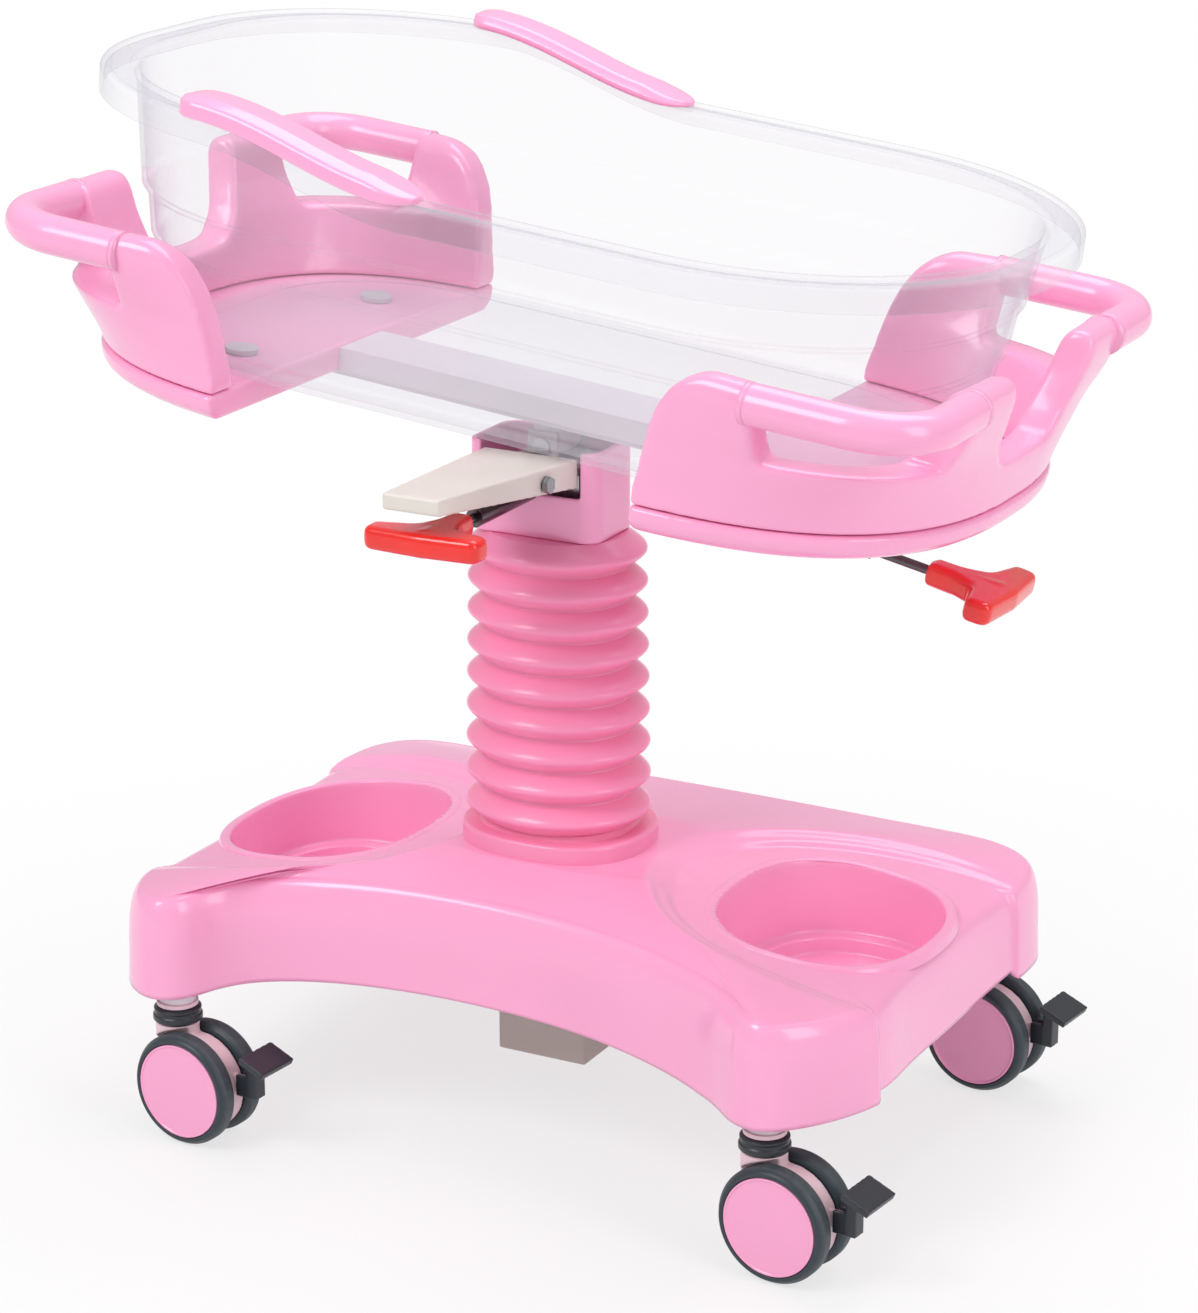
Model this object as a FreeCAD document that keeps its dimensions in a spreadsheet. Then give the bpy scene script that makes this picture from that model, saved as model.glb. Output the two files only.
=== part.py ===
"""Hospital bassinet: a clear lift-off tub on a tilting cradle, a telescopic column and a castored base.

Millimetres, +Z up.  The origin lies on the floor below the middle of the base, +X points to the foot
end and -Y to the side with the height lever.  The cradle and the tub are drawn level and then turned
head-up about the tilt pivot, the attitude in which the bassinet stands.
"""
import FreeCAD, Part
import math
import os
import re
import Sketcher
from FreeCAD import Placement, Rotation, Vector

doc = FreeCAD.newDocument("HospitalBassinet")

# ---------------------------------------------------------------------------------------------
# Driving dimensions
# ---------------------------------------------------------------------------------------------
DIMENSIONS = [
    # casters
    ("wheel_diameter", 100), ("wheel_disc_radius", 42.3), ("tyre_width", 19), ("tyre_inner_face", 9),
    ("caster_spacing_long", 562), ("caster_spacing_wide", 422), ("caster_trail", 21),
    ("caster_rest_angle", -6), ("stem_radius", 6), ("axle_radius", 5), ("fender_radius", 44),
    ("fender_width", 15), ("neck_radius", 19.5), ("ring_radius", 21.5), ("ring_bottom", 103.5),
    ("ring_height", 14.5), ("pedal_pivot_forward", 71), ("pedal_pivot_height", 60),
    # base
    ("cover_wall", 4), ("cover_bottom", 132), ("side_arch_rise", 9), ("shoulder_height", 227.5),
    ("crown_height", 250.5), ("tray_height", 225.7), ("tray_slope", 5.5), ("tray_centre", 340),
    ("tray_half_long", 232), ("tray_half_wide", 149), ("well_offset", 241),
    ("well_half_long", 90), ("well_half_wide", 105), ("well_floor", 152), ("well_step", 14),
    ("frame_bottom", 122), ("frame_tube_bottom", 130), ("frame_tube_height", 16), ("frame_tube_width", 30),
    ("foot_box_length", 86), ("foot_box_width", 66), ("foot_box_bottom", 51),
    # column
    ("column_position", -20), ("outer_tube_long", 76), ("outer_tube_wide", 56), ("tube_wall", 3),
    ("outer_tube_bottom", 55), ("outer_tube_top", 392), ("inner_tube_long", 66),
    ("inner_tube_wide", 46), ("inner_tube_bottom", 190), ("collar_top", 266),
    ("collar_half_long", 86), ("collar_half_wide", 73), ("bellows_rings", 9), ("bellows_pitch", 28.5),
    ("bellows_half_long", 83), ("bellows_half_wide", 72), ("bellows_groove_depth", 13),
    ("head_bottom", 527), ("head_top", 606), ("head_length", 124), ("head_width", 76),
    ("head_corner", 16), ("yoke_floor", 584), ("yoke_top", 617), ("yoke_plate", 6),
    # levers and release handles
    ("lever_root_width", 90), ("lever_tip_width", 52), ("lever_root", -35), ("lever_tip", -235),
    ("lever_wall", 4), ("lever_pivot_out", -85), ("lever_pivot_height", 590), ("lever_centre", -26),
    ("release_rod_radius", 4), ("release_height", 568), ("release_bar_length", 106),
    # cradle and tub
    ("tilt_angle", 6), ("tilt_pivot_height", 604), ("tilt_pin_radius", 8), ("cradle_centre", -18),
    ("cradle_bottom", 629), ("shell_bottom", 651), ("shell_top", 776), ("shell_reach", 239),
    ("shell_half_wide", 233), ("shell_depth", 32), ("shell_skin", 4),
    ("shell_centre_offset", 168), ("handle_radius", 16.5), ("handle_height", 758),
    ("handle_side", 248), ("handle_end", 398), ("handle_corner", 54),
    ("tub_bottom", 655), ("tub_wall", 4), ("tub_head_end", -428), ("tub_foot_end", 399),
    ("tub_half_wide", 257), ("tub_head_corner", 220), ("tub_foot_corner", 240), ("rim_width", 34),
    ("rim_head_height", 884), ("rim_foot_height", 849), ("rim_skirt", 22), ("wall_draft", 7),
    ("armrest_head_end", -255), ("armrest_foot_end", -32),
]
sheet = doc.addObject("Spreadsheet::Sheet", "Dimensions")
for row, (alias, value) in enumerate(DIMENSIONS, start=1):
    sheet.set("A%d" % row, alias.replace("_", " "))
    sheet.set("B%d" % row, str(value))
    sheet.setAlias("B%d" % row, alias)
doc.recompute()

ALIASES = [alias for alias, value in DIMENSIONS]
SIZE = {alias: float(sheet.get(alias)) for alias in ALIASES}

NODES = {}                                     # node name -> document object


def bind(obj, **properties):
    """Set an object's properties, with words of the sheet written as plain expressions."""
    for name, text in properties.items():
        formula = re.sub(r"[a-z]\w*", lambda m: "Dimensions." + m.group(0) if m.group(0) in SIZE
                         else m.group(0), str(text))
        obj.setExpression(name, formula)
    return obj


def node(name, obj):
    """Give an object its node name, which names its file as well."""
    obj.Label = name
    NODES[name] = obj
    return obj


def turned(axis):
    """Rotation that takes +Z to the given axis."""
    return Rotation(Vector(0, 0, 1), Vector(*axis))


def cylinder(name, radius, height, base, axis=(0, 0, 1)):
    obj = bind(doc.addObject("Part::Cylinder", name), Radius=radius, Height=height)
    obj.Placement = Placement(Vector(*base), turned(axis))
    return obj


def block(name, low, high):
    """Part::Box between two corners."""
    obj = doc.addObject("Part::Box", name)
    obj.Length, obj.Width, obj.Height = (b - a for a, b in zip(low, high))
    obj.Placement = Placement(Vector(*low), Rotation())
    return obj


def fuse(name, shapes):
    obj = doc.addObject("Part::MultiFuse", name)
    obj.Shapes = shapes
    obj.Refine = True
    return obj


def cut(name, base, tool):
    obj = doc.addObject("Part::Cut", name)
    obj.Base, obj.Tool = base, tool
    return obj


def group(name, objects):
    """Several separate solids that share one node."""
    obj = doc.addObject("Part::Compound", name)
    obj.Links = objects
    return obj


def feature(name, shape, placement=None):
    """Part::Feature with a shape made in code; the placement comes after the shape."""
    obj = doc.addObject("Part::Feature", name)
    obj.Shape = shape
    if placement is not None:
        obj.Placement = placement
    return obj


def origin_plane(body, role):
    return next(f for f in body.Origin.OriginFeatures if f.Role == role)


def rectangle(sketch, long_size, wide_size, tag):
    """Centred rectangle in a sketch, driven by two named dimensions."""
    corners = [(-1, -1), (1, -1), (1, 1), (-1, 1)]
    first = sketch.GeometryCount
    for a, b in zip(corners, corners[1:] + corners[:1]):
        sketch.addGeometry(Part.LineSegment(Vector(20 * a[0], 10 * a[1], 0), Vector(20 * b[0], 10 * b[1], 0)))

    def add(*args):
        return sketch.addConstraint(Sketcher.Constraint(*args))
    for k in range(4):
        add("Coincident", first + k, 2, first + (k + 1) % 4, 1)
    for k in range(4):
        add("Horizontal" if k % 2 == 0 else "Vertical", first + k)
    add("Symmetric", first, 1, first + 1, 2, -1, 1)
    for axis, line, size in (("long", first, long_size), ("wide", first + 1, wide_size)):
        number = add("DistanceX" if axis == "long" else "DistanceY", line, 1, line, 2, 20.0)
        sketch.renameConstraint(number, tag + "_" + axis)
        formula = re.sub(r"[a-z]\w*", lambda m: "Dimensions." + m.group(0), size)
        sketch.setExpression("Constraints." + tag + "_" + axis, formula)


def tube_body(name, long_size, wide_size, wall, length, bottom):
    """Rectangular tube as a padded sketch of two rectangles, standing on the given height."""
    body = doc.addObject("PartDesign::Body", name)
    sketch = body.newObject("Sketcher::SketchObject", name + "_section")
    sketch.AttachmentSupport = [(origin_plane(body, "XY_Plane"), "")]
    sketch.MapMode = "FlatFace"
    rectangle(sketch, long_size, wide_size, "outside")
    rectangle(sketch, "%s - 2 * %s" % (long_size, wall), "%s - 2 * %s" % (wide_size, wall), "inside")
    pad = body.newObject("PartDesign::Pad", name + "_pad")
    pad.Profile = sketch
    bind(pad, Length=length)
    body.Placement = Placement(Vector(SIZE["column_position"], 0, bottom), Rotation())
    return body


def revolved_body(name, profile, placement=None):
    """Revolution of a closed (radius, height) profile about the body's own Z axis."""
    body = doc.addObject("PartDesign::Body", name)
    sketch = body.newObject("Sketcher::SketchObject", name + "_profile")
    sketch.AttachmentSupport = [(origin_plane(body, "XZ_Plane"), "")]
    sketch.MapMode = "FlatFace"
    for a, b in zip(profile, profile[1:] + profile[:1]):
        sketch.addGeometry(Part.LineSegment(Vector(a[0], a[1], 0), Vector(b[0], b[1], 0)))
    turn = body.newObject("PartDesign::Revolution", name + "_turn")
    turn.Profile = sketch
    turn.ReferenceAxis = (sketch, ["V_Axis"])
    turn.Angle = 360
    if placement is not None:
        body.Placement = placement
    return body


# ---------------------------------------------------------------------------------------------
# Curves that several pieces share
# ---------------------------------------------------------------------------------------------
def closed_curve(points, height):
    """Smooth closed wire through plan points at one height."""
    curve = Part.BSplineCurve()
    curve.interpolate([Vector(x, y, height) for x, y in points], PeriodicFlag=True)
    return Part.Wire(curve.toShape())


def superellipse(centre, half_long, half_wide, power=2.5, count=40):
    """Plan points of a rounded oval about (centre, 0)."""
    points = []
    for k in range(count):
        angle = 2 * math.pi * k / count
        c, s = math.cos(angle), math.sin(angle)
        points.append((centre + half_long * math.copysign(abs(c) ** (2 / power), c),
                       half_wide * math.copysign(abs(s) ** (2 / power), s)))
    return points


def oval_prism(centre, half_long, half_wide, low, high, power=2.3):
    face = Part.Face(closed_curve(superellipse(centre, half_long, half_wide, power), low))
    return face.extrude(Vector(0, 0, high - low))


def oval_loft(centre, low_size, high_size, low, high):
    """Solid between two ovals of different size, the shape of a flared wall."""
    return Part.makeLoft([closed_curve(superellipse(centre, *low_size), low),
                          closed_curve(superellipse(centre, *high_size), high)], True, True)


def rounded_plan(head_end, foot_end, half_wide, head_corner, foot_corner, height):
    """Wire of a long oval: straight sides joined by large arcs at the head and the foot."""
    def arc(cx, cy, radius, start):
        at = lambda deg: Vector(cx + radius * math.cos(math.radians(deg)),
                                cy + radius * math.sin(math.radians(deg)), height)
        return Part.Arc(at(start), at(start + 45), at(start + 90)).toShape()
    arcs = [arc(foot_end - foot_corner, half_wide - foot_corner, foot_corner, 0),
            arc(head_end + head_corner, half_wide - head_corner, head_corner, 90),
            arc(head_end + head_corner, head_corner - half_wide, head_corner, 180),
            arc(foot_end - foot_corner, foot_corner - half_wide, foot_corner, 270)]
    edges = []
    for k, this in enumerate(arcs):
        following = arcs[(k + 1) % 4]
        edges += [this, Part.makeLine(this.Vertexes[-1].Point, following.Vertexes[0].Point)]
    return Part.Wire(edges)


def side_profile(points, half_wide=400):
    """Prism along Y of a closed (x, z) outline."""
    corners = [Vector(x, -half_wide, z) for x, z in points]
    return Part.Face(Part.makePolygon(corners + corners[:1])).extrude(Vector(0, 2 * half_wide, 0))


def end_profile(points, low_x, high_x):
    """Prism along X of a closed (y, z) outline."""
    corners = [Vector(low_x, y, z) for y, z in points]
    return Part.Face(Part.makePolygon(corners + corners[:1])).extrude(Vector(high_x - low_x, 0, 0))


COLUMN_X = SIZE["column_position"]
PIVOT = Vector(COLUMN_X, 0, SIZE["tilt_pivot_height"])
TILT = Placement(Vector(0, 0, 0), Rotation(Vector(0, 1, 0), SIZE["tilt_angle"]), PIVOT)

# ---------------------------------------------------------------------------------------------
# Base cover: a dished shell with four lobes over the casters and a well at each end
# ---------------------------------------------------------------------------------------------
COVER_OUTLINE = [(351, 0), (351, 60), (352, 110), (354, 150), (353, 185), (344, 214), (322, 235), (288, 245),
                 (250, 243), (200, 237), (100, 230), (0, 227), (-100, 229), (-200, 236), (-250, 243),
                 (-288, 245), (-320, 234), (-340, 209), (-347, 178), (-349, 145), (-348, 90), (-347, 0),
                 (-348, -90), (-348, -140), (-345, -176), (-332, -207), (-310, -231), (-283, -240),
                 (-264, -228), (-252, -205), (-236, -182), (-205, -163), (-160, -150), (-88, -142), (-12, -142),
                 (50, -147), (108, -157), (165, -174), (215, -197), (245, -219), (263, -234), (284, -240),
                 (315, -220), (338, -185), (352, -148), (352, -80)]
# distance inside the outline, and the height the rounded shoulder has reached there
COVER_SHOULDER = [(0, 160), (0.8, 192), (2, 207), (4, 215), (6.5, 220), (10, 224.5), (15, 227.5)]


# numbers of outline points, and the angle round the crown that each of them leads to
CROWN_TURNS = [(0, 0), (11, 90), (21, 180), (34, 268), (46, 360)]


def crown_point(k):
    """Point of the flat oval crown that outline point k leads to."""
    for (k0, turn0), (k1, turn1) in zip(CROWN_TURNS, CROWN_TURNS[1:]):
        if k0 <= k < k1:
            turn = math.radians(turn0 + (turn1 - turn0) * (k - k0) / (k1 - k0))
    c, s = math.cos(turn), math.sin(turn)
    return 150 * math.copysign(abs(c) ** 0.8, c), 78 * math.copysign(abs(s) ** 0.8, s)


def cover_curve(inside, height, share, wall):
    """One ring of the cover: a distance inside the outline, then a share of the way on to the crown."""
    points = []
    for k, (x, y) in enumerate(COVER_OUTLINE):
        (ax, ay), (bx, by) = COVER_OUTLINE[k - 1], COVER_OUTLINE[(k + 1) % len(COVER_OUTLINE)]
        span = math.hypot(bx - ax, by - ay)
        px, py = x - (inside + wall) * (by - ay) / span, y + (inside + wall) * (bx - ax) / span
        cx, cy = crown_point(k)
        rise = (SIZE["crown_height"] - SIZE["shoulder_height"]) * share
        points.append(Vector(px + share * (cx - px), py + share * (cy - py), height + rise - wall))
    curve = Part.BSplineCurve()
    curve.interpolate(points, PeriodicFlag=True)
    return Part.Wire(curve.toShape())


def cover_solid(wall):
    """The cover filled in, or its cavity where wall is its thickness."""
    wires = [cover_curve(0, 100, 0, wall)]
    wires += [cover_curve(inside, height, 0, wall) for inside, height in COVER_SHOULDER]
    wires += [cover_curve(15, COVER_SHOULDER[-1][1], share, wall) for share in (0.25, 0.5, 0.75, 1)]
    solid = Part.makeLoft(wires, True, True)
    for side_of in (1, -1):
        tray = oval_prism(SIZE["tray_centre"], SIZE["tray_half_long"] + wall, SIZE["tray_half_wide"] + wall, 0, 60)
        tray.rotate(Vector(SIZE["well_offset"], 0, 0), Vector(0, 1, 0), SIZE["tray_slope"])
        tray.translate(Vector(0, 0, SIZE["tray_height"] - wall))
        if side_of < 0:
            tray = tray.mirror(Vector(0, 0, 0), Vector(1, 0, 0))
        solid = solid.cut(tray)
    return solid


def arch(rise, half_span):
    """Cylinder that arches the lower edge up by rise between the lobes."""
    radius = (half_span ** 2 + rise ** 2) / (2 * rise)
    return Part.makeCylinder(radius, 800, Vector(COLUMN_X, -400, SIZE["cover_bottom"] + rise - radius),
                             Vector(0, 1, 0))


def make_base_cover():
    filled = cover_solid(0)
    filled = filled.cut(Part.makeBox(900, 700, SIZE["cover_bottom"], Vector(-450, -350, 0)))
    cavity = cover_solid(SIZE["cover_wall"])
    shell = filled.cut(cavity)
    wells = [s * SIZE["well_offset"] for s in (1, -1)]
    long_size, wide_size, floor = SIZE["well_half_long"], SIZE["well_half_wide"], SIZE["well_floor"]
    wall, step = SIZE["cover_wall"], SIZE["well_step"]
    cups = [filled.common(oval_prism(x, long_size + wall, wide_size + wall, floor - wall, 260)) for x in wells]
    shell = shell.fuse(cups)
    for x in wells:
        shell = shell.cut(oval_prism(x, long_size, wide_size, floor + step, 260))
        shell = shell.cut(oval_prism(x, 0.8 * long_size, 0.8 * wide_size, floor, floor + step + 1))
    shell = shell.cut(arch(SIZE["side_arch_rise"], 235))
    hole_long, hole_wide = SIZE["outer_tube_long"] + 12, SIZE["outer_tube_wide"] + 12
    shell = shell.cut(Part.makeBox(hole_long, hole_wide, 60, Vector(COLUMN_X - hole_long / 2, -hole_wide / 2, 215)))
    return filled, shell.removeSplitter()


cover_filled, cover_shell = make_base_cover()
node("base_cover", feature("base_cover", cover_shell))

# ---------------------------------------------------------------------------------------------
# Base frame with its caster sockets, the stems and the box at the column's foot
# ---------------------------------------------------------------------------------------------
HALF_LONG, HALF_WIDE = SIZE["caster_spacing_long"] / 2, SIZE["caster_spacing_wide"] / 2
FRAME_LOW, TUBE_LOW = SIZE["frame_bottom"], SIZE["frame_tube_bottom"]
FRAME_HIGH = TUBE_LOW + SIZE["frame_tube_height"]
CORNERS = {"head_front": (-1, -1), "foot_front": (1, -1), "head_back": (-1, 1), "foot_back": (1, 1)}


def frame_member(name, low, high):
    return block(name, (low[0], low[1], TUBE_LOW), (high[0], high[1], FRAME_HIGH))


tube = SIZE["frame_tube_width"]
members = [frame_member("cross_tube_%s" % ("foot" if s > 0 else "head"),
                        (s * HALF_LONG - tube / 2, -HALF_WIDE - 10), (s * HALF_LONG + tube / 2, HALF_WIDE + 10))
           for s in (1, -1)]
for s in (1, -1):
    members.append(frame_member("long_tube_%s" % ("back" if s > 0 else "front"),
                                (-HALF_LONG, s * 48 - tube / 2), (HALF_LONG, s * 48 + tube / 2)))
members.append(block("column_plate", (COLUMN_X - 80, -60, FRAME_LOW), (COLUMN_X + 80, 60, TUBE_LOW + 4)))
for corner, (sx, sy) in CORNERS.items():
    members.append(cylinder("caster_socket_%s" % corner, 16, 26, (sx * HALF_LONG, sy * HALF_WIDE, FRAME_LOW)))
    members.append(cylinder("cover_mount_%s" % corner, 10, "well_floor - cover_wall - frame_tube_bottom",
                            (sx * HALF_LONG, sy * 60, TUBE_LOW)))
frame_blank = fuse("frame_blank", members)
openings = [cylinder("stem_bore_%s" % corner, "stem_radius", 60, (sx * HALF_LONG, sy * HALF_WIDE, FRAME_LOW - 10))
            for corner, (sx, sy) in CORNERS.items()]
half_tube = (SIZE["outer_tube_long"] / 2, SIZE["outer_tube_wide"] / 2)
openings.append(block("column_seat", (COLUMN_X - half_tube[0], -half_tube[1], FRAME_LOW - 5),
                      (COLUMN_X + half_tube[0], half_tube[1], FRAME_HIGH + 5)))
node("base_frame", cut("base_frame", frame_blank, fuse("frame_openings", openings)))

stems = []
for corner, (sx, sy) in CORNERS.items():
    x, y = sx * HALF_LONG, sy * HALF_WIDE
    stems.append(fuse("stem_%s" % corner, [
        cylinder("stem_pin_%s" % corner, "stem_radius", 62, (x, y, 84)),
        cylinder("stem_flange_%s" % corner, "stem_radius * 3", 3.4, (x, y, FRAME_LOW - 3.4))]))
node("caster_stems", group("caster_stems", stems))

box_half = (SIZE["foot_box_length"] / 2, SIZE["foot_box_width"] / 2)
foot_low = SIZE["foot_box_bottom"]
foot_block = block("foot_block", (COLUMN_X - box_half[0], -box_half[1], foot_low),
                   (COLUMN_X + box_half[0], box_half[1], FRAME_LOW))
foot_hollow = block("foot_hollow", (COLUMN_X - box_half[0] + 4, -box_half[1] + 4, foot_low + 4),
                    (COLUMN_X + box_half[0] - 4, box_half[1] - 4, FRAME_LOW + 1))
foot_hole = cylinder("foot_hole", 6, 10, (COLUMN_X - 24, -box_half[1] - 3, foot_low + 46), (0, 1, 0))
node("column_foot_box", cut("column_foot_box", foot_block, fuse("foot_openings", [foot_hollow, foot_hole])))

# ---------------------------------------------------------------------------------------------
# Column: outer tube, glide, collar, bellows and gas spring
# ---------------------------------------------------------------------------------------------
node("column_outer_tube", tube_body("column_outer_tube", "outer_tube_long", "outer_tube_wide", "tube_wall",
                                    "outer_tube_top - outer_tube_bottom", SIZE["outer_tube_bottom"]))
node("column_inner_tube", tube_body("column_inner_tube", "inner_tube_long", "inner_tube_wide", "tube_wall",
                                    "yoke_floor - inner_tube_bottom", SIZE["inner_tube_bottom"]))
GLIDE_GAP = 0.4
glide_wall = "((outer_tube_long - 2 * tube_wall - inner_tube_long) / 2 - %s)" % GLIDE_GAP
node("column_glide", tube_body("column_glide", "outer_tube_long - 2 * tube_wall",
                               "outer_tube_wide - 2 * tube_wall", glide_wall, 22, SIZE["outer_tube_top"] - 22))


def make_collar():
    """Oval ring that stands on the curved top of the cover."""
    ring = oval_prism(COLUMN_X, SIZE["collar_half_long"], SIZE["collar_half_wide"], 236, SIZE["collar_top"], 2.4)
    top = [e for e in ring.Edges if abs(e.BoundBox.ZMin - SIZE["collar_top"]) < 0.01]
    ring = ring.makeFillet(3, top)
    hole_long, hole_wide = SIZE["outer_tube_long"] + 2, SIZE["outer_tube_wide"] + 2
    hole = Part.makeBox(hole_long, hole_wide, 60, Vector(COLUMN_X - hole_long / 2, -hole_wide / 2, 220))
    return ring.cut(hole).cut(cover_filled)


node("column_collar", feature("column_collar", make_collar()))


def make_bellows():
    """Thin rubber sleeve of round rings, turned about Z and then drawn out along X."""
    rings, pitch = int(SIZE["bellows_rings"]), SIZE["bellows_pitch"]
    low, high, depth = SIZE["collar_top"], SIZE["head_bottom"], SIZE["bellows_groove_depth"]
    outer = SIZE["bellows_half_wide"]
    edge = high - low - rings * pitch - 0.1
    points = []
    for k in range(8 * rings + 1):
        swell = (1 - math.cos(2 * math.pi * k / 8)) / 2
        points.append((outer - depth * (1 - swell ** 0.8), low + edge + k * pitch / 8))

    def side(offset):
        line = Part.BSplineCurve()
        line.interpolate([Vector(r - offset, 0, z) for r, z in points])
        return line.toShape()
    outside, inside = side(0), side(2.2)
    ends = []
    for at in (0, -1):
        ends.append(Part.makeLine(outside.Vertexes[at].Point, inside.Vertexes[at].Point))
    profile = Part.Face(Part.Wire([outside, ends[1], inside, ends[0]]))
    sleeve = profile.revolve(Vector(0, 0, 0), Vector(0, 0, 1), 360)
    stretch = FreeCAD.Matrix()
    stretch.A11 = SIZE["bellows_half_long"] / outer
    sleeve = sleeve.transformGeometry(stretch)
    sleeve.translate(Vector(COLUMN_X, 0, 0))
    return sleeve


node("bellows", feature("bellows", make_bellows()))

SPRING_LOW, SPRING_TOP, ROD_RADIUS = 58.9, 292, 5
spring_profile = [(0, 0), (14, 0), (14, SPRING_TOP - SPRING_LOW), (ROD_RADIUS + 0.06, SPRING_TOP - SPRING_LOW),
                  (ROD_RADIUS + 0.06, SPRING_TOP - SPRING_LOW - 12), (11.5, SPRING_TOP - SPRING_LOW - 12),
                  (11.5, 5), (0, 5)]
node("gas_spring_cylinder", revolved_body("gas_spring_cylinder", spring_profile,
                                          Placement(Vector(COLUMN_X, 0, SPRING_LOW + 0.1), Rotation())))
node("gas_spring_rod", cylinder("gas_spring_rod", ROD_RADIUS, SIZE["yoke_floor"] - 205, (COLUMN_X, 0, 205)))

# ---------------------------------------------------------------------------------------------
# Column head with the tilt yoke and the height lever
# ---------------------------------------------------------------------------------------------
HEAD_X = SIZE["lever_centre"]


def rounded_block(low, high, corner):
    """Box with its four upright edges rounded."""
    solid = Part.makeBox(*[b - a for a, b in zip(low, high)], Vector(*low))
    upright = [e for e in solid.Edges if e.BoundBox.ZLength > 0.9 * (high[2] - low[2])]
    return solid.makeFillet(corner, upright)


def make_column_head():
    half_long, half_wide = SIZE["head_length"] / 2, SIZE["head_width"] / 2
    low, high, corner, wall = SIZE["head_bottom"], SIZE["head_top"], SIZE["head_corner"], 4
    outside = rounded_block((HEAD_X - half_long, -half_wide, low), (HEAD_X + half_long, half_wide, high), corner)
    inside = rounded_block((HEAD_X - half_long + wall, -half_wide + wall, low + wall),
                           (HEAD_X + half_long - wall, half_wide - wall, high + 5), corner - wall)
    tube_hole = Part.makeBox(SIZE["inner_tube_long"], SIZE["inner_tube_wide"], 20,
                             Vector(COLUMN_X - SIZE["inner_tube_long"] / 2, -SIZE["inner_tube_wide"] / 2, low - 5))
    slot = Part.makeBox(94, 30, 60, Vector(HEAD_X - 47, -half_wide - 10, 566))
    return outside.cut(inside).cut(tube_hole).cut(slot)


node("column_head", feature("column_head", make_column_head()))

yoke_low, yoke_top, plate = SIZE["yoke_floor"], SIZE["yoke_top"], SIZE["yoke_plate"]
yoke_parts = [block("yoke_plate", (COLUMN_X - 36, -30, yoke_low), (COLUMN_X + 36, 30, yoke_low + plate))]
for s in (1, -1):
    y_low = 22 if s > 0 else -27
    yoke_parts.append(block("yoke_cheek_%s" % ("back" if s > 0 else "front"),
                            (COLUMN_X - 14, y_low, yoke_low + plate), (COLUMN_X + 14, y_low + 5, yoke_top)))
yoke_parts.append(block("lever_tongue", (HEAD_X - 16, SIZE["lever_pivot_out"], 577), (HEAD_X + 16, -28, 588)))
yoke_parts.append(cylinder("lever_boss", 8, 32, (HEAD_X - 16, SIZE["lever_pivot_out"],
                                                 SIZE["lever_pivot_height"]), (1, 0, 0)))
yoke_bores = [cylinder("pin_bore", "tilt_pin_radius + 0.05", 80, (COLUMN_X, -40, PIVOT.z), (0, 1, 0)),
              cylinder("lever_bore", 4.05, 80, (HEAD_X - 40, SIZE["lever_pivot_out"], SIZE["lever_pivot_height"]),
                       (1, 0, 0))]
node("tilt_yoke", cut("tilt_yoke", fuse("yoke_blank", yoke_parts), fuse("yoke_bores", yoke_bores)))

GUIDE_LOW_Y = -132
guide_front = [cylinder("front_guide_tube", 8, -39 - GUIDE_LOW_Y, (HEAD_X, GUIDE_LOW_Y, SIZE["release_height"]),
                        (0, 1, 0)),
               block("front_guide_web", (HEAD_X - 5, -80, SIZE["release_height"] + 4), (HEAD_X + 5, -39, 577))]
guide_bore = cylinder("front_guide_bore", "release_rod_radius + 0.05", 200,
                      (HEAD_X, -160, SIZE["release_height"]), (0, 1, 0))
node("front_release_guide", cut("front_release_guide", fuse("front_guide_blank", guide_front), guide_bore))


def lever_wedge(name, inset, root_low, root_high, tip_low, tip_high):
    """Tapered bar along -Y; inset narrows it, for the hollow inside."""
    wedge = doc.addObject("Part::Wedge", name)
    bind(wedge, Xmin="-lever_root_width / 2 + %s" % inset, Xmax="lever_root_width / 2 - %s" % inset,
         X2min="-lever_tip_width / 2 + %s" % inset, X2max="lever_tip_width / 2 - %s" % inset,
         Ymin="0", Ymax="lever_root - lever_tip - %s" % inset)
    wedge.Zmin, wedge.Zmax, wedge.Z2min, wedge.Z2max = root_low, root_high, tip_low, tip_high
    wedge.Placement = Placement(Vector(HEAD_X, SIZE["lever_root"], 0), Rotation(Vector(0, 0, 1), 180))
    return wedge


lever_blank = lever_wedge("lever_blank", 0, 575, 600, 598, 612)
lever_hollow = lever_wedge("lever_hollow", SIZE["lever_wall"], 560, 596, 584, 607)
lever_bore = cylinder("lever_side_bores", 4, 120, (HEAD_X - 60, SIZE["lever_pivot_out"],
                                                   SIZE["lever_pivot_height"]), (1, 0, 0))
node("height_lever", cut("height_lever", lever_blank, fuse("lever_openings", [lever_hollow, lever_bore])))
LEVER_HALF = 41.1
lever_at = (SIZE["lever_pivot_out"], SIZE["lever_pivot_height"])
bolt_parts = [cylinder("lever_bolt_shank", 4, 2 * LEVER_HALF, (HEAD_X - LEVER_HALF, *lever_at), (1, 0, 0))]
for s in (1, -1):
    head = doc.addObject("Part::Prism", "lever_bolt_head_%s" % ("foot" if s > 0 else "head"))
    head.Polygon, head.Circumradius, head.Height = 6, 7.5, 5
    head.Placement = Placement(Vector(HEAD_X + s * LEVER_HALF, *lever_at), turned((s, 0, 0)))
    bolt_parts.append(head)
node("lever_bolt", fuse("lever_bolt", bolt_parts))

# ---------------------------------------------------------------------------------------------
# Red release handles: a bar across the end of a rod
# ---------------------------------------------------------------------------------------------
BAR_RADIUS, SOCKET_LENGTH = 11, 66


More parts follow.
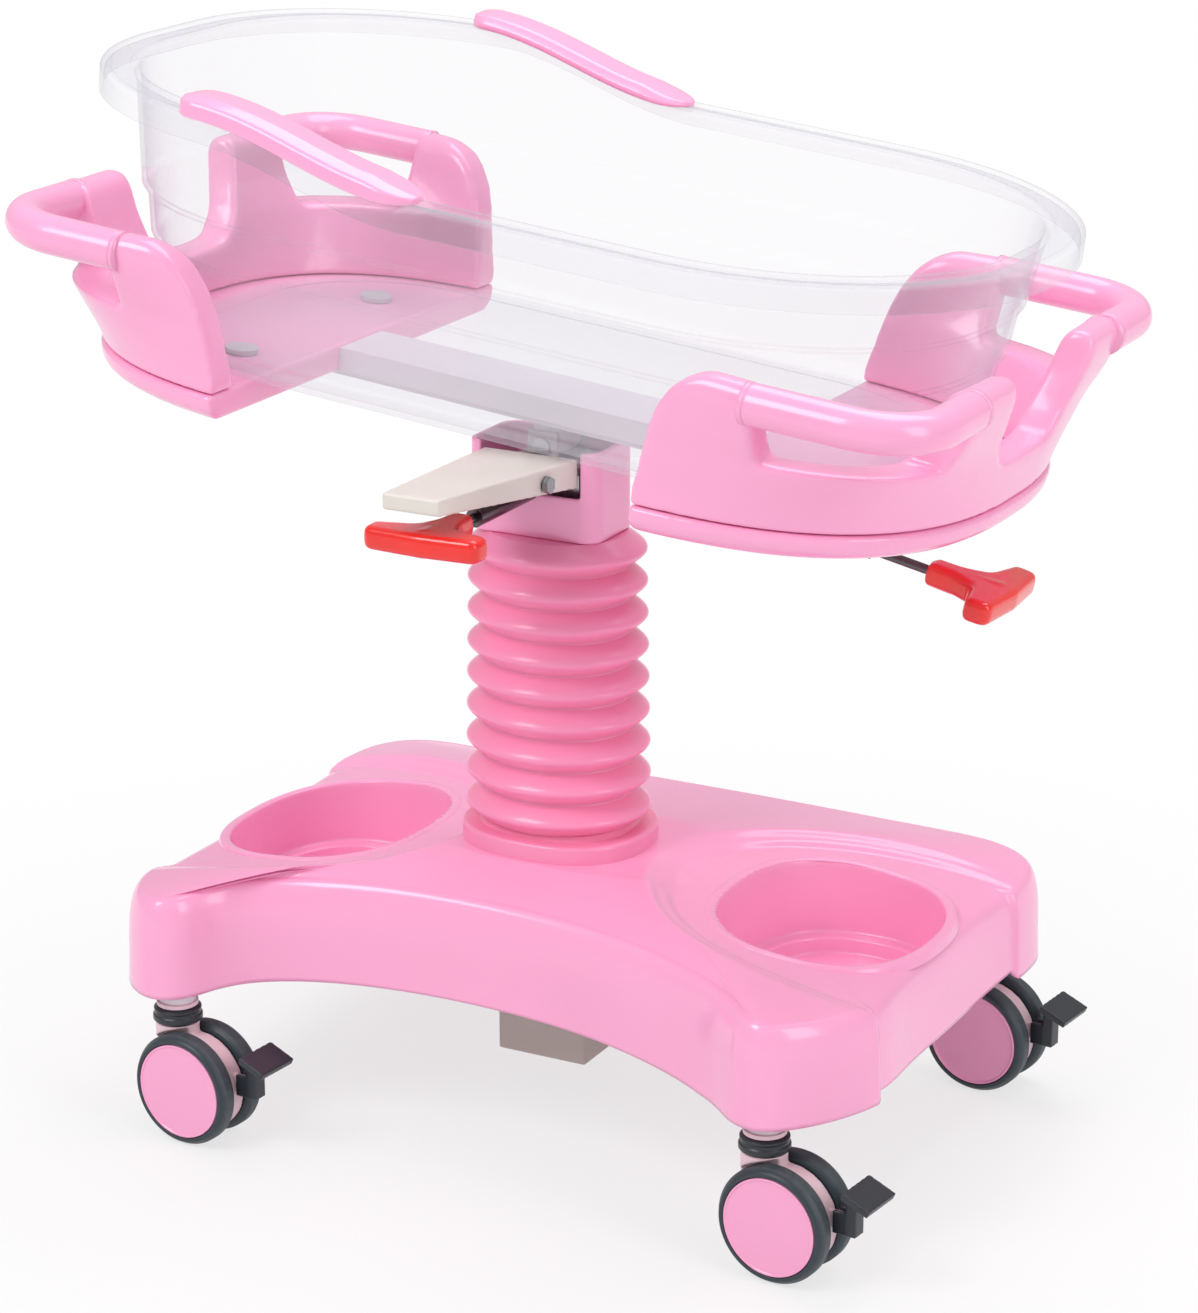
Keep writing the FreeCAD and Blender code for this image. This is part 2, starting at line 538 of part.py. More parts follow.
def make_grip():
    """Grip along +X from its socket mouth, with the bar along Y at the far end."""
    half = SIZE["release_bar_length"] / 2
    bar = Part.makeCylinder(BAR_RADIUS, 2 * half - 2 * BAR_RADIUS, Vector(SOCKET_LENGTH, -half + BAR_RADIUS, 0),
                            Vector(0, 1, 0))
    ends = [Part.makeSphere(BAR_RADIUS, Vector(SOCKET_LENGTH, s * (half - BAR_RADIUS), 0)) for s in (1, -1)]
    neck = Part.makeCone(10, 9, SOCKET_LENGTH, Vector(0, 0, 0), Vector(1, 0, 0))
    web_corners = [Vector(14, -8, -6), Vector(SOCKET_LENGTH, -36, -6), Vector(SOCKET_LENGTH, 36, -6),
                   Vector(14, 8, -6)]
    web = Part.Face(Part.makePolygon(web_corners + web_corners[:1])).extrude(Vector(0, 0, 12))
    bore = Part.makeCylinder(SIZE["release_rod_radius"], 30, Vector(-1, 0, 0), Vector(1, 0, 0))
    return bar.fuse(ends + [neck, web]).removeSplitter().cut(bore)


FRONT_GRIP_Y = -150
front_turn = Rotation(Vector(1, 0, 0), Vector(0, -1, 0))
node("front_release_grip", feature("front_release_grip", make_grip(),
                                   Placement(Vector(HEAD_X, FRONT_GRIP_Y, SIZE["release_height"]), front_turn)))
node("front_release_rod", cylinder("front_release_rod", "release_rod_radius", 129,
                                   (HEAD_X, FRONT_GRIP_Y - 29, SIZE["release_height"]), (0, 1, 0)))
# The foot handle's rod slopes down from the tilt pivot, seen in the level cradle.
FOOT_ROD_DROP, FOOT_ROD_START = 5.7, Vector(287.3, 0, 577.1)
foot_turn = Rotation(Vector(0, 1, 0), FOOT_ROD_DROP)
foot_along = foot_turn.multVec(Vector(1, 0, 0))
foot_grip_at = FOOT_ROD_START + foot_along * 40
node("foot_release_grip", feature("foot_release_grip", make_grip(),
                                  TILT.multiply(Placement(foot_grip_at, foot_turn))))
rod_start = foot_grip_at - foot_along * 150
foot_rod = cylinder("foot_release_rod", "release_rod_radius", 179, tuple(rod_start))
foot_rod.Placement = TILT.multiply(Placement(rod_start, turned(tuple(foot_along))))
node("foot_release_rod", foot_rod)


def make_foot_guide():
    start = foot_grip_at - foot_along * 170
    tube_solid = Part.makeCylinder(8, 118, start, foot_along)
    webs = [Part.makeBox(6, 16, 44, Vector(x, -8, 580)) for x in (190, 262)]
    bore = Part.makeCylinder(SIZE["release_rod_radius"] + 0.05, 400, start - foot_along * 100, foot_along)
    return tube_solid.fuse(webs).cut(bore)


node("foot_release_guide", feature("foot_release_guide", make_foot_guide(), TILT))

# ---------------------------------------------------------------------------------------------
# Cradle: spine, end trays, end shells and grab handles
# ---------------------------------------------------------------------------------------------
TRAY_LOW, SHELL_LOW, SHELL_HIGH = SIZE["cradle_bottom"], SIZE["shell_bottom"], SIZE["shell_top"]
CRADLE_X, OFFSET = SIZE["cradle_centre"], SIZE["shell_centre_offset"]
INNER_EDGE = {"foot": 183, "head": 199}         # trays and shells start this far from the cradle's centre
HEAD_SHIFT = 12                                 # the head end stands this much nearer the centre


def make_cradle_frame():
    lug = Part.makeCylinder(12, 42, Vector(PIVOT.x, -21, PIVOT.z), Vector(0, 1, 0))
    block_up = Part.makeBox(24, 42, TRAY_LOW - 5 - PIVOT.z, Vector(PIVOT.x - 12, -21, PIVOT.z))
    strap = Part.makeBox(660, 60, 5, Vector(CRADLE_X - 330, -30, TRAY_LOW - 5))
    spine_start, spine_length = CRADLE_X - INNER_EDGE["head"], INNER_EDGE["head"] + INNER_EDGE["foot"]
    spine = Part.makeBox(spine_length, 70, 20, Vector(spine_start, -35, TRAY_LOW))
    hollow = Part.makeBox(spine_length + 2, 62, 14, Vector(spine_start - 1, -31, TRAY_LOW + 3))
    bore = Part.makeCylinder(SIZE["tilt_pin_radius"], 60, Vector(PIVOT.x, -30, PIVOT.z), Vector(0, 1, 0))
    return lug.fuse([block_up, strap, spine.cut(hollow)]).removeSplitter().cut(bore)


node("cradle_frame", feature("cradle_frame", make_cradle_frame(), TILT))
pin = cylinder("tilt_pin", "tilt_pin_radius", 60, (PIVOT.x, -30, PIVOT.z), (0, 1, 0))
pin.Placement = TILT.multiply(pin.Placement)
node("tilt_pin", pin)


def to_end(shape, end):
    """A foot-end shape as it is, or mirrored and moved inwards for the head end."""
    return shape if end == "foot" else shape.mirror(Vector(CRADLE_X + HEAD_SHIFT / 2, 0, 0), Vector(1, 0, 0))


def inner_edge(end):
    """Where the tray and shell of an end start, before they are taken to that end."""
    return CRADLE_X + INNER_EDGE[end] + (HEAD_SHIFT if end == "head" else 0)


def make_tray(end):
    """Lower moulding of one end: a D-shaped tray with a rounded lower edge, open below."""
    centre, long_size, wide_size = CRADLE_X + OFFSET, SIZE["shell_reach"], SIZE["shell_half_wide"]
    solid = Part.makeLoft([closed_curve(superellipse(centre, long_size - 9, wide_size - 9), TRAY_LOW),
                           closed_curve(superellipse(centre, long_size - 1, wide_size - 1), TRAY_LOW + 5),
                           closed_curve(superellipse(centre, long_size + 2, wide_size + 2), SHELL_LOW)], True, True)
    hollow = oval_loft(centre, (long_size - 14, wide_size - 14), (long_size - 5, wide_size - 5),
                       TRAY_LOW - 1, SHELL_LOW - 4)
    start = inner_edge(end)
    keep = Part.makeBox(400, 600, 200, Vector(start, -300, 560))
    keep_hollow = Part.makeBox(400, 600, 200, Vector(start + 4, -300, 560))
    return solid.common(keep).cut(hollow.common(keep_hollow))


# distance from the inner edge and height of the side slope
SHELL_SLOPE = [(0, 640), (0, 661), (5, 692), (11, 718), (18, 737), (29, 756), (40, 767), (54, 774), (75, 780)]
FINGER_FLOOR, DIP_FLOOR = 709, 690
POST_START, POST_INSIDE, POST_OUTSIDE = {"foot": 268, "head": 285}, 64, 150


def shell_openings(end, margin):
    """Space above the wall's upper edge: side slope, finger gaps and the dip at the end."""
    start = inner_edge(end)
    slope = [(start + x + margin, z - margin) for x, z in SHELL_SLOPE]
    slope += [(start + SHELL_SLOPE[-1][0], 900), (60, 900), (60, 640)]
    dip = [(-POST_INSIDE - 14 - margin, 900), (-POST_INSIDE - 12 - margin, 740), (-POST_INSIDE - margin, 712),
           (-46, DIP_FLOOR + 4 - margin), (-30, DIP_FLOOR - margin), (30, DIP_FLOOR - margin),
           (46, DIP_FLOOR + 4 - margin), (POST_INSIDE + margin, 712), (POST_INSIDE + 12 + margin, 740),
           (POST_INSIDE + 14 + margin, 900)]
    gaps = [Part.makeBox(300, 300, 200, Vector(POST_START[end] - margin, y, FINGER_FLOOR - margin))
            for y in (POST_OUTSIDE - margin, -POST_OUTSIDE - 300 + margin)]
    return [side_profile(slope), end_profile(dip, 250, 480)] + gaps


# height, reach, half width, squareness and extra width at the side posts of the upper moulding
SHELL_PLAN = [(560, 241, 235, 2.5, 0), (651, 241, 235, 2.5, 0), (680, 244, 238, 3.0, 0), (709, 248, 242, 3.8, 2),
              (735, 256, 247, 5.0, 8), (758, 262, 250, 5.6, 12), (776, 264, 252, 5.6, 13), (900, 264, 252, 5.6, 13)]


def shell_loft(inset, low, high):
    """Solid inside the upper moulding's outer face, less inset, between two heights."""
    heights = [low] + [row[0] for row in SHELL_PLAN if low < row[0] < high] + [high]
    wires = []
    for height in heights:
        below = max(k for k, row in enumerate(SHELL_PLAN[:-1]) if row[0] <= height)
        share = (height - SHELL_PLAN[below][0]) / (SHELL_PLAN[below + 1][0] - SHELL_PLAN[below][0])
        reach, half_wide, power, extra = (a + share * (b - a) for a, b in
                                          zip(SHELL_PLAN[below][1:], SHELL_PLAN[below + 1][1:]))
        points = superellipse(CRADLE_X + OFFSET, reach - inset, half_wide - inset, power, 64)
        points = [(x, y * (1 + extra / half_wide * math.exp(-((x - 290) / 60) ** 2))) for x, y in points]
        wires.append(closed_curve(points, height))
    return Part.makeLoft(wires, True, True)


def make_shell(end):
    """Upper moulding of one end: a flared U wall, hollow towards the tub."""
    depth, skin, start = SIZE["shell_depth"], SIZE["shell_skin"], inner_edge(end)
    solid = shell_loft(0, SHELL_LOW, SHELL_HIGH).cut(shell_loft(depth, SHELL_LOW - 10, SHELL_HIGH + 10))
    solid = solid.cut(shell_openings(end, 0)[0]).cut(Part.makeBox(400, 600, 400, Vector(start - 400, -300, 600)))
    for opening in shell_openings(end, 0)[1:]:
        solid = solid.cut(opening)
    hollow = shell_loft(skin, SHELL_LOW + skin, SHELL_HIGH - skin)
    hollow = hollow.cut(shell_loft(depth + 30, SHELL_LOW - 20, SHELL_HIGH + 20))
    hollow = hollow.cut(Part.makeBox(400, 600, 400, Vector(start + skin - 400, -300, 600)))
    for opening in shell_openings(end, skin):
        hollow = hollow.cut(opening)
    return solid.cut(hollow)


def make_handle(end):
    """Grab bar round the front foot corner, its ends let into the side post and the end post."""
    radius, height, corner = SIZE["handle_radius"], SIZE["handle_height"], SIZE["handle_corner"]
    side, reach, start = SIZE["handle_side"], SIZE["handle_end"], POST_START[end] - 6
    along_side = Part.makeCylinder(radius, reach - corner - start, Vector(start, -side, height), Vector(1, 0, 0))
    along_end = Part.makeCylinder(radius, side - corner - POST_OUTSIDE + 12,
                                  Vector(reach, corner - side, height), Vector(0, 1, 0))
    bend = Part.makeTorus(corner, radius, Vector(reach - corner, corner - side, height), Vector(0, 0, 1),
                          -180, 180, 90)
    bend.rotate(Vector(reach - corner, corner - side, height), Vector(0, 0, 1), -90)
    return along_side.fuse([bend, along_end]).removeSplitter()


for end in ("head", "foot"):
    bar = make_handle(end)
    bars = {"front": bar, "back": bar.mirror(Vector(0, 0, 0), Vector(0, 1, 0))}
    node(end + "_tray", feature(end + "_tray", to_end(make_tray(end), end), TILT))
    node(end + "_shell", feature(end + "_shell", to_end(make_shell(end).cut(list(bars.values())), end), TILT))
    for side_name, shape in bars.items():
        name = "%s_%s_handle" % (end, side_name)
        node(name, feature(name, to_end(shape, end), TILT))

rests = []
for end, (sx, sy) in CORNERS.items():
    rest = cylinder("rest_%s" % end, 14, SIZE["tub_bottom"] - SHELL_LOW,
                    (CRADLE_X + sx * 250, sy * 110, SHELL_LOW))
    rest.Placement = TILT.multiply(rest.Placement)
    rests.append(rest)
node("tub_rests", group("tub_rests", rests))

# ---------------------------------------------------------------------------------------------
# Tub: draughted wall, floor, wide rim with a turned-down edge, and two armrest pads
# ---------------------------------------------------------------------------------------------
TUB_LOW, TUB_WALL, RIM_WIDTH = SIZE["tub_bottom"], SIZE["tub_wall"], SIZE["rim_width"]
HEAD_RIM, FOOT_RIM = SIZE["rim_head_height"], SIZE["rim_foot_height"]
SLOPE = math.tan(math.radians(SIZE["wall_draft"]))
# plan inset of the outer wall from the rim's outer edge, at each height
LEDGES = [(TUB_LOW, 31), (TUB_LOW + 14, 25), (742, 15), (746, 10), (784, 5), (788, 0), (900, -14)]


def tub_plan(inset, height):
    return rounded_plan(SIZE["tub_head_end"] + inset, SIZE["tub_foot_end"] - inset,
                        SIZE["tub_half_wide"] - inset, SIZE["tub_head_corner"] - inset,
                        SIZE["tub_foot_corner"] - inset, height)


def tub_loft(extra, lift):
    wires = [tub_plan(RIM_WIDTH + 5 + inset + extra, height + lift) for height, inset in LEDGES]
    return Part.makeLoft(wires, True, True)


def rim_line(drop, points=8):
    """(x, z) points of the rim: high round the head, a smooth slope, lower round the foot."""
    head_x, foot_x = SIZE["armrest_head_end"], SIZE["armrest_foot_end"]
    line = [(-600, HEAD_RIM - drop), (head_x - 30, HEAD_RIM - drop)]
    for k in range(points + 1):
        share = k / points
        blend = (1 - math.cos(math.pi * share)) / 2
        line.append((head_x + 10 + share * (foot_x - head_x - 20), HEAD_RIM - drop + blend * (FOOT_RIM - HEAD_RIM)))
    return line + [(foot_x + 30, FOOT_RIM - drop), (600, FOOT_RIM - drop)]


def below_rim(drop):
    return side_profile(rim_line(drop) + [(600, 500), (-600, 500)])


def tub_ring(outer_inset, inner_inset):
    outer = Part.Face(tub_plan(outer_inset, 780)).extrude(Vector(0, 0, 150))
    return outer.cut(Part.Face(tub_plan(inner_inset, 770)).extrude(Vector(0, 0, 170)))


def make_tub():
    wall = tub_loft(0, 0).cut(tub_loft(TUB_WALL, TUB_WALL))
    wall = wall.common(below_rim(0))
    rim = tub_ring(0, RIM_WIDTH).common(below_rim(0)).cut(below_rim(TUB_WALL))
    skirt = tub_ring(0, 3).common(below_rim(0)).cut(below_rim(SIZE["rim_skirt"]))
    return wall.fuse([rim, skirt]).removeSplitter()


node("tub", feature("tub", make_tub(), TILT))


def make_armrest(side_of):
    """Pad that lies on the sloping part of the rim."""
    head_x, foot_x = SIZE["armrest_head_end"], SIZE["armrest_foot_end"]
    thickness, width = 13, 44
    upper = [(x, z + thickness) for x, z in rim_line(0)]
    band = side_profile(upper + [(600, 500), (-600, 500)]).cut(below_rim(0))
    low_y = SIZE["tub_half_wide"] + 4 - width if side_of > 0 else -SIZE["tub_half_wide"] - 4
    plan = rounded_block((head_x, low_y, 700), (foot_x, low_y + width, 1000), 18)
    return band.common(plan)


node("armrest_front", feature("armrest_front", make_armrest(-1), TILT))
node("armrest_back", feature("armrest_back", make_armrest(1), TILT))

# ---------------------------------------------------------------------------------------------
# Casters: each drawn about its stem, then turned and moved to its corner
# ---------------------------------------------------------------------------------------------
TRAIL, WHEEL_R = SIZE["caster_trail"], SIZE["wheel_diameter"] / 2
TYRE_IN, TYRE_OUT = SIZE["tyre_inner_face"], SIZE["tyre_inner_face"] + SIZE["tyre_width"]


def placed(obj, place):
    obj.Placement = place.multiply(obj.Placement)
    return obj


def make_housing(name, place):
    neck = cylinder(name + "_neck", "neck_radius", SIZE["ring_bottom"] - 74, (0, 0, 74))
    fender = cylinder(name + "_fender", "fender_radius", "fender_width",
                      (TRAIL, -SIZE["fender_width"] / 2, WHEEL_R), (0, 1, 0))
    lug = block(name + "_lug", (TRAIL + 38, -2.5, 53), (SIZE["pedal_pivot_forward"] + 6, 2.5, 67))
    tools = [cylinder(name + "_stem_bore", "stem_radius + 0.06", 60, (0, 0, 83)),
             cylinder(name + "_axle_bore", "axle_radius + 0.06", 40, (TRAIL, -20, WHEEL_R), (0, 1, 0)),
             cylinder(name + "_pivot_bore", 2.56, 20, (SIZE["pedal_pivot_forward"], -10, 60), (0, 1, 0)),
             block(name + "_floor_cut", (-40, -20, 0), (80, 20, 16))]
    for s in (1, -1):
        tools.append(cylinder(name + "_tyre_room_%s" % ("b" if s > 0 else "f"), "wheel_diameter / 2 + 2", 30,
                              (TRAIL, SIZE["fender_width"] / 2 if s > 0 else -SIZE["fender_width"] / 2 - 30,
                               WHEEL_R), (0, 1, 0)))
    blank = fuse(name + "_blank", [neck, fender, lug])
    return placed(cut(name, blank, fuse(name + "_tools", tools)), place)


def make_ring(name, place):
    low, high, radius = SIZE["ring_bottom"], SIZE["ring_bottom"] + SIZE["ring_height"], SIZE["ring_radius"]
    bore = SIZE["stem_radius"] + 0.06
    profile = [(bore, low), (radius - 2, low), (radius, low + 2), (radius, high - 4), (radius - 3, high),
               (bore, high)]
    return revolved_body(name, profile, place)


def make_wheel_pair(name, profile, place):
    """Two equal turned rings, one each side of the housing."""
    pair = []
    for s in (1, -1):
        spot = Placement(Vector(TRAIL, 0, WHEEL_R), turned((0, s, 0)))
        pair.append(revolved_body("%s_%s" % (name, "back" if s > 0 else "front"), profile, place.multiply(spot)))
    return group(name, pair)


DISC_R, HUB_R = SIZE["wheel_disc_radius"], 34
TYRE_PROFILE = [(HUB_R, TYRE_IN), (WHEEL_R - 3, TYRE_IN), (WHEEL_R, TYRE_IN + 3), (WHEEL_R, TYRE_OUT - 4),
                (WHEEL_R - 4, TYRE_OUT), (DISC_R, TYRE_OUT), (DISC_R, TYRE_OUT - 4), (HUB_R, TYRE_OUT - 4)]
DISC_PROFILE = [(SIZE["axle_radius"], TYRE_IN - 0.8), (HUB_R, TYRE_IN - 0.8), (HUB_R, TYRE_OUT - 4),
                (DISC_R, TYRE_OUT - 4), (DISC_R, TYRE_OUT - 1), (DISC_R - 1.5, TYRE_OUT + 0.2),
                (0, TYRE_OUT + 0.2), (0, TYRE_OUT - 3), (SIZE["axle_radius"], TYRE_OUT - 3)]


def make_pedal(name, place):
    """Ribbed foot plate on a forked arm, with its pivot pin."""
    forward, height = SIZE["pedal_pivot_forward"], SIZE["pedal_pivot_height"]
    plate = block(name + "_plate", (0, -22, -3), (27, 22, 3))
    plate.Placement = Placement(Vector(82, 0, 92), Rotation(Vector(0, 1, 0), 22), Vector(0, 0, 0))
    plate.Placement.Base = Vector(82, -22, 89)
    arm = block(name + "_arm", (forward + 8, -7, 50), (forward + 18, 7, 88))
    cheeks = [block("%s_cheek_%s" % (name, tag), (forward - 3.4, y, 50), (forward + 9, y + 3.6, 70))
              for tag, y in (("b", 3.2), ("f", -6.8))]
    pin_body = cylinder(name + "_pin", 2.5, 13, (forward, -6.5, height), (0, 1, 0))
    return placed(fuse(name, [plate, arm, pin_body] + cheeks), place)


for corner, (sx, sy) in CORNERS.items():
    place = Placement(Vector(sx * HALF_LONG, sy * HALF_WIDE, 0), Rotation(Vector(0, 0, 1), SIZE["caster_rest_angle"]))
    name = corner + "_caster"
    node(name + "_ring", make_ring(name + "_ring", place))
    node(name + "_housing", make_housing(name + "_housing", place))
    node(name + "_tyres", make_wheel_pair(name + "_tyres", TYRE_PROFILE, place))
    node(name + "_discs", make_wheel_pair(name + "_discs", DISC_PROFILE, place))
    axle = cylinder(name + "_axle", "axle_radius", 2 * (TYRE_OUT - 3), (TRAIL, -(TYRE_OUT - 3), WHEEL_R), (0, 1, 0))
    node(name + "_axle", placed(axle, place))
    node(name + "_pedal", make_pedal(name + "_pedal", place))

# ---------------------------------------------------------------------------------------------
# Check every object, then write one STEP file for each node
# ---------------------------------------------------------------------------------------------
doc.recompute()
for obj in doc.Objects:
    if "Invalid" in obj.State or "Error" in obj.State:
        raise RuntimeError("%s failed: %s" % (obj.Name, obj.State))
os.makedirs("parts", exist_ok=True)
faulty = [name for name, obj in NODES.items()
          if obj.Shape.isNull() or not obj.Shape.isValid() or not obj.Shape.Solids]
if faulty:
    raise RuntimeError("no valid solid: " + ", ".join(faulty))
for name, obj in NODES.items():
    shape = obj.Shape
    shape.exportStep("parts/%s.step" % name)
    print("%-32s solids %d  volume %8.1f cm3" % (name, len(shape.Solids), shape.Volume / 1000))
print("nodes", len(NODES))
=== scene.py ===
# %% [markdown]
# # A hospital bassinet
# A clear tub for a newborn lies in a tilting cradle on a telescopic column with a bellows, over a low moulded base
# on four casters. The steel, the joints and the sizes come from a CAD model, loaded here as a fixed frame. This
# script rebuilds the mouldings whose soft edges a CAD solid lacks, and gives each surface its finish.

import math

import bmesh
import bpy
import numpy as np
from mathutils import Matrix, Vector


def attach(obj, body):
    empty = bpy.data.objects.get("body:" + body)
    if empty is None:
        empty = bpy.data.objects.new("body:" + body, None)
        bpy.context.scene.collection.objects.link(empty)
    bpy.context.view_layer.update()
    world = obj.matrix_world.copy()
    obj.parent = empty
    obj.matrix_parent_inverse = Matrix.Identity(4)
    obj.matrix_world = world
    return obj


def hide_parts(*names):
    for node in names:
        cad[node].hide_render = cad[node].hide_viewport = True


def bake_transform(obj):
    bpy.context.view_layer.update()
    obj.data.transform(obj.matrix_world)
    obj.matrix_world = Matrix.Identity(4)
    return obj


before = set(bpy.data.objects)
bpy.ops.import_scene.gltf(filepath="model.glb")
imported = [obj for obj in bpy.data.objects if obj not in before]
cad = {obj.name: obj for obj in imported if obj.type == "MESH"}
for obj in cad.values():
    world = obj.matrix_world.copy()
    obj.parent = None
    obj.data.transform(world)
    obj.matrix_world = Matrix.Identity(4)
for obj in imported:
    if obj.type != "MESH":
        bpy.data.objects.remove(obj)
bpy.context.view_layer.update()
print("nodes in the frame:", len(cad))

# %% [markdown]
# ## Shader maths as expressions
# A procedural finish is mostly arithmetic on noise and position. Written node by node it is long and hard to
# read, so one small class wraps a socket and lets Python's operators add the Math nodes. Every other kind of
# node goes through one method of the finish it belongs to.

# %% Values
class Value:
    """A shader socket that takes part in ordinary arithmetic."""

    def __init__(self, finish, socket):
        self.finish, self.socket = finish, socket

    def sum(self, operation, *values, clamp=False):
        return self.finish.node("ShaderNodeMath", {"operation": operation, "use_clamp": clamp}, values)

    def __add__(self, other):
        return self.sum("ADD", self, other)

    def __sub__(self, other):
        return self.sum("SUBTRACT", self, other)

    def __rsub__(self, other):
        return self.sum("SUBTRACT", other, self)

    def __mul__(self, other):
        return self.sum("MULTIPLY", self, other)

    def __pow__(self, other):
        return self.sum("POWER", self, other)

    __radd__, __rmul__ = __add__, __mul__

    def held(self):
        """The same value, kept between 0 and 1."""
        return self.sum("ADD", self, 0.0, clamp=True)


print("a value takes part in sums, differences, products and powers")

# %% Finishes
class Finish:
    """A material with one Principled shader and the nodes that feed it."""

    def __init__(self, name, **sockets):
        self.material = bpy.data.materials.new(name)
        self.material.use_nodes = True
        self.tree = self.material.node_tree
        self.shader = self.tree.nodes["Principled BSDF"]
        self.set(**sockets)

    def set(self, **sockets):
        for name, value in sockets.items():
            self.join(value, self.shader.inputs[name.replace("_", " ")])

    def join(self, value, socket):
        if isinstance(value, Value):
            self.tree.links.new(value.socket, socket)
        else:
            socket.default_value = value

    def node(self, kind, settings=None, values=(), output=0, **named):
        """Adds a node: its settings first, then values or links for its sockets by place or by name."""
        made = self.tree.nodes.new(kind)
        for key, value in (settings or {}).items():
            setattr(made, key, value)
        for place, value in enumerate(values):
            self.join(value, made.inputs[place])
        for key, value in named.items():
            self.join(value, made.inputs[key.replace("_", " ")])
        return Value(self, made.outputs[output])

    def place(self, scale=(1, 1, 1)):
        """Object coordinates, stretched by a scale for each axis."""
        where = self.node("ShaderNodeTexCoord", output="Object")
        return self.node("ShaderNodeMapping", Vector=where, Scale=scale)

    def noise(self, size, detail=2.0, scale=(1, 1, 1)):
        """Noise between 0 and 1 whose spots are about size metres across."""
        return self.node("ShaderNodeTexNoise", Vector=self.place(scale), Scale=1 / size, Detail=detail)

    def blend_colours(self, dark, light, factor):
        """Colour between two colours."""
        made = self.tree.nodes.new("ShaderNodeMix")
        made.data_type = "RGBA"
        for place, value in ((0, factor), (6, dark), (7, light)):
            self.join(value, made.inputs[place])
        return Value(self, made.outputs[2])

    def bump(self, height, strength, distance, edge=0.0):
        """Fine relief; edge also rounds the shading of sharp edges by that radius in metres."""
        extra = {"Normal": self.node("ShaderNodeBevel", {"samples": 4}, Radius=edge)} if edge else {}
        return self.node("ShaderNodeBump", Height=height, Strength=strength, Distance=distance, **extra)


print("a finish adds nodes for place, noise, colour and relief")

# %% Colours
def colour(red, green, blue, alpha=1.0):
    """A colour given as it looks on screen, 0 to 255, as the linear values that shaders use."""
    linear = [c / 12.92 if c <= 0.04045 else ((c + 0.055) / 1.055) ** 2.4
              for c in (red / 255, green / 255, blue / 255)]
    return (*linear, alpha)


def shift(tint, factor):
    """The same colour, lighter or darker."""
    return (*[min(1.0, c * factor) for c in tint[:3]], tint[3])


print("middle grey on screen is", round(colour(128, 128, 128)[0], 3), "to a shader")

# %% [markdown]
# ## Moulded plastic
# The base, the cradle and the wheel discs are injection-moulded and polished. The real surface isn't flat
# colour: the pigment clouds by a percent or two, and the skin has a very shallow orange peel that breaks up
# reflections. A bevel in the shading rounds the edges of the parts that come straight from CAD.

# %% Plastics and rubber
def plastic(name, tint, roughness, coat=0.0, peel=0.25, edge=0.0, cloud=0.045):
    finish = Finish(name, IOR=1.5, Coat_Weight=coat, Coat_Roughness=0.06)
    clouds = finish.noise(0.09, 3)
    specks = finish.noise(0.004, 2)
    finish.set(Base_Color=finish.blend_colours(shift(tint, 1 - cloud), shift(tint, 1 + cloud / 2), clouds),
               Roughness=roughness + (specks - 0.5) * (roughness * 0.35),
               Normal=finish.bump(finish.noise(0.0022, 1), peel, 0.00008, edge))
    return finish.material


pink_moulding = plastic("pink_moulding", colour(255, 170, 211), 0.24, coat=0.35)
bellows_rubber = plastic("bellows_rubber", colour(252, 150, 190), 0.3, coat=0.2, peel=0.4, cloud=0.09)
caster_pale = plastic("caster_pale", colour(236, 203, 212), 0.36, peel=0.4)
dark_plastic = plastic("dark_plastic", colour(42, 46, 53), 0.34, peel=0.6, cloud=0.1)
lever_beige = plastic("lever_beige", colour(224, 217, 209), 0.3, peel=0.9, edge=0.001)
box_beige = plastic("box_beige", colour(204, 194, 186), 0.42, peel=0.9, edge=0.001)
glide_white = plastic("glide_white", colour(228, 228, 224), 0.4, edge=0.0006)
rest_rubber = plastic("rest_rubber", colour(188, 186, 188), 0.7, peel=0.8, edge=0.001)
print("plastics and rubber made:", len(bpy.data.materials))

# %% [markdown]
# ## Tyres
# A caster tyre is matt polyurethane: dark blue-grey, duller where it rolls than on its side, with dust caught in
# the tread. Distance from the wheel's middle isn't a thing that Object coordinates know on four wheels at once,
# so each tyre carries an attribute that says how close to the tread a point is.

# %% Tyre rubber
def tyre_finish():
    finish = Finish("tyre_rubber", IOR=1.48)
    tread = finish.node("ShaderNodeAttribute", {"attribute_name": "tread"}, output="Fac")
    dust = (finish.noise(0.006, 4) * tread * 0.8).held()
    finish.set(Base_Color=finish.blend_colours(colour(46, 57, 64), colour(92, 98, 102), dust),
               Roughness=0.42 + dust * 0.3,
               Normal=finish.bump(finish.noise(0.0011, 2), 0.35, 0.00012))
    return finish.material


tyre_rubber = tyre_finish()
print("nodes in the tyre finish:", len(tyre_rubber.node_tree.nodes))

# %% [markdown]
# ## Metals
# Rods and tubes are drawn steel: fine lines run along their length. The same noise, squeezed in two directions
# and stretched in the third, gives those lines. Paint on the hidden frame is a satin powder coat.

# %% Metals and paint
def drawn_metal(name, tint, roughness, along):
    """Metal with fine lines along one axis, 0 for X, 1 for Y and 2 for Z."""
    finish = Finish(name, Metallic=1.0)
    stretch = [1.0, 1.0, 1.0]
    stretch[along] = 0.02
    lines = finish.noise(0.0009, 2, tuple(stretch))
    finish.set(Base_Color=finish.blend_colours(shift(tint, 0.86), tint, lines),
               Roughness=roughness + lines * 0.12,
               Normal=finish.bump(lines, 0.12, 0.00005, 0.0005))
    return finish.material


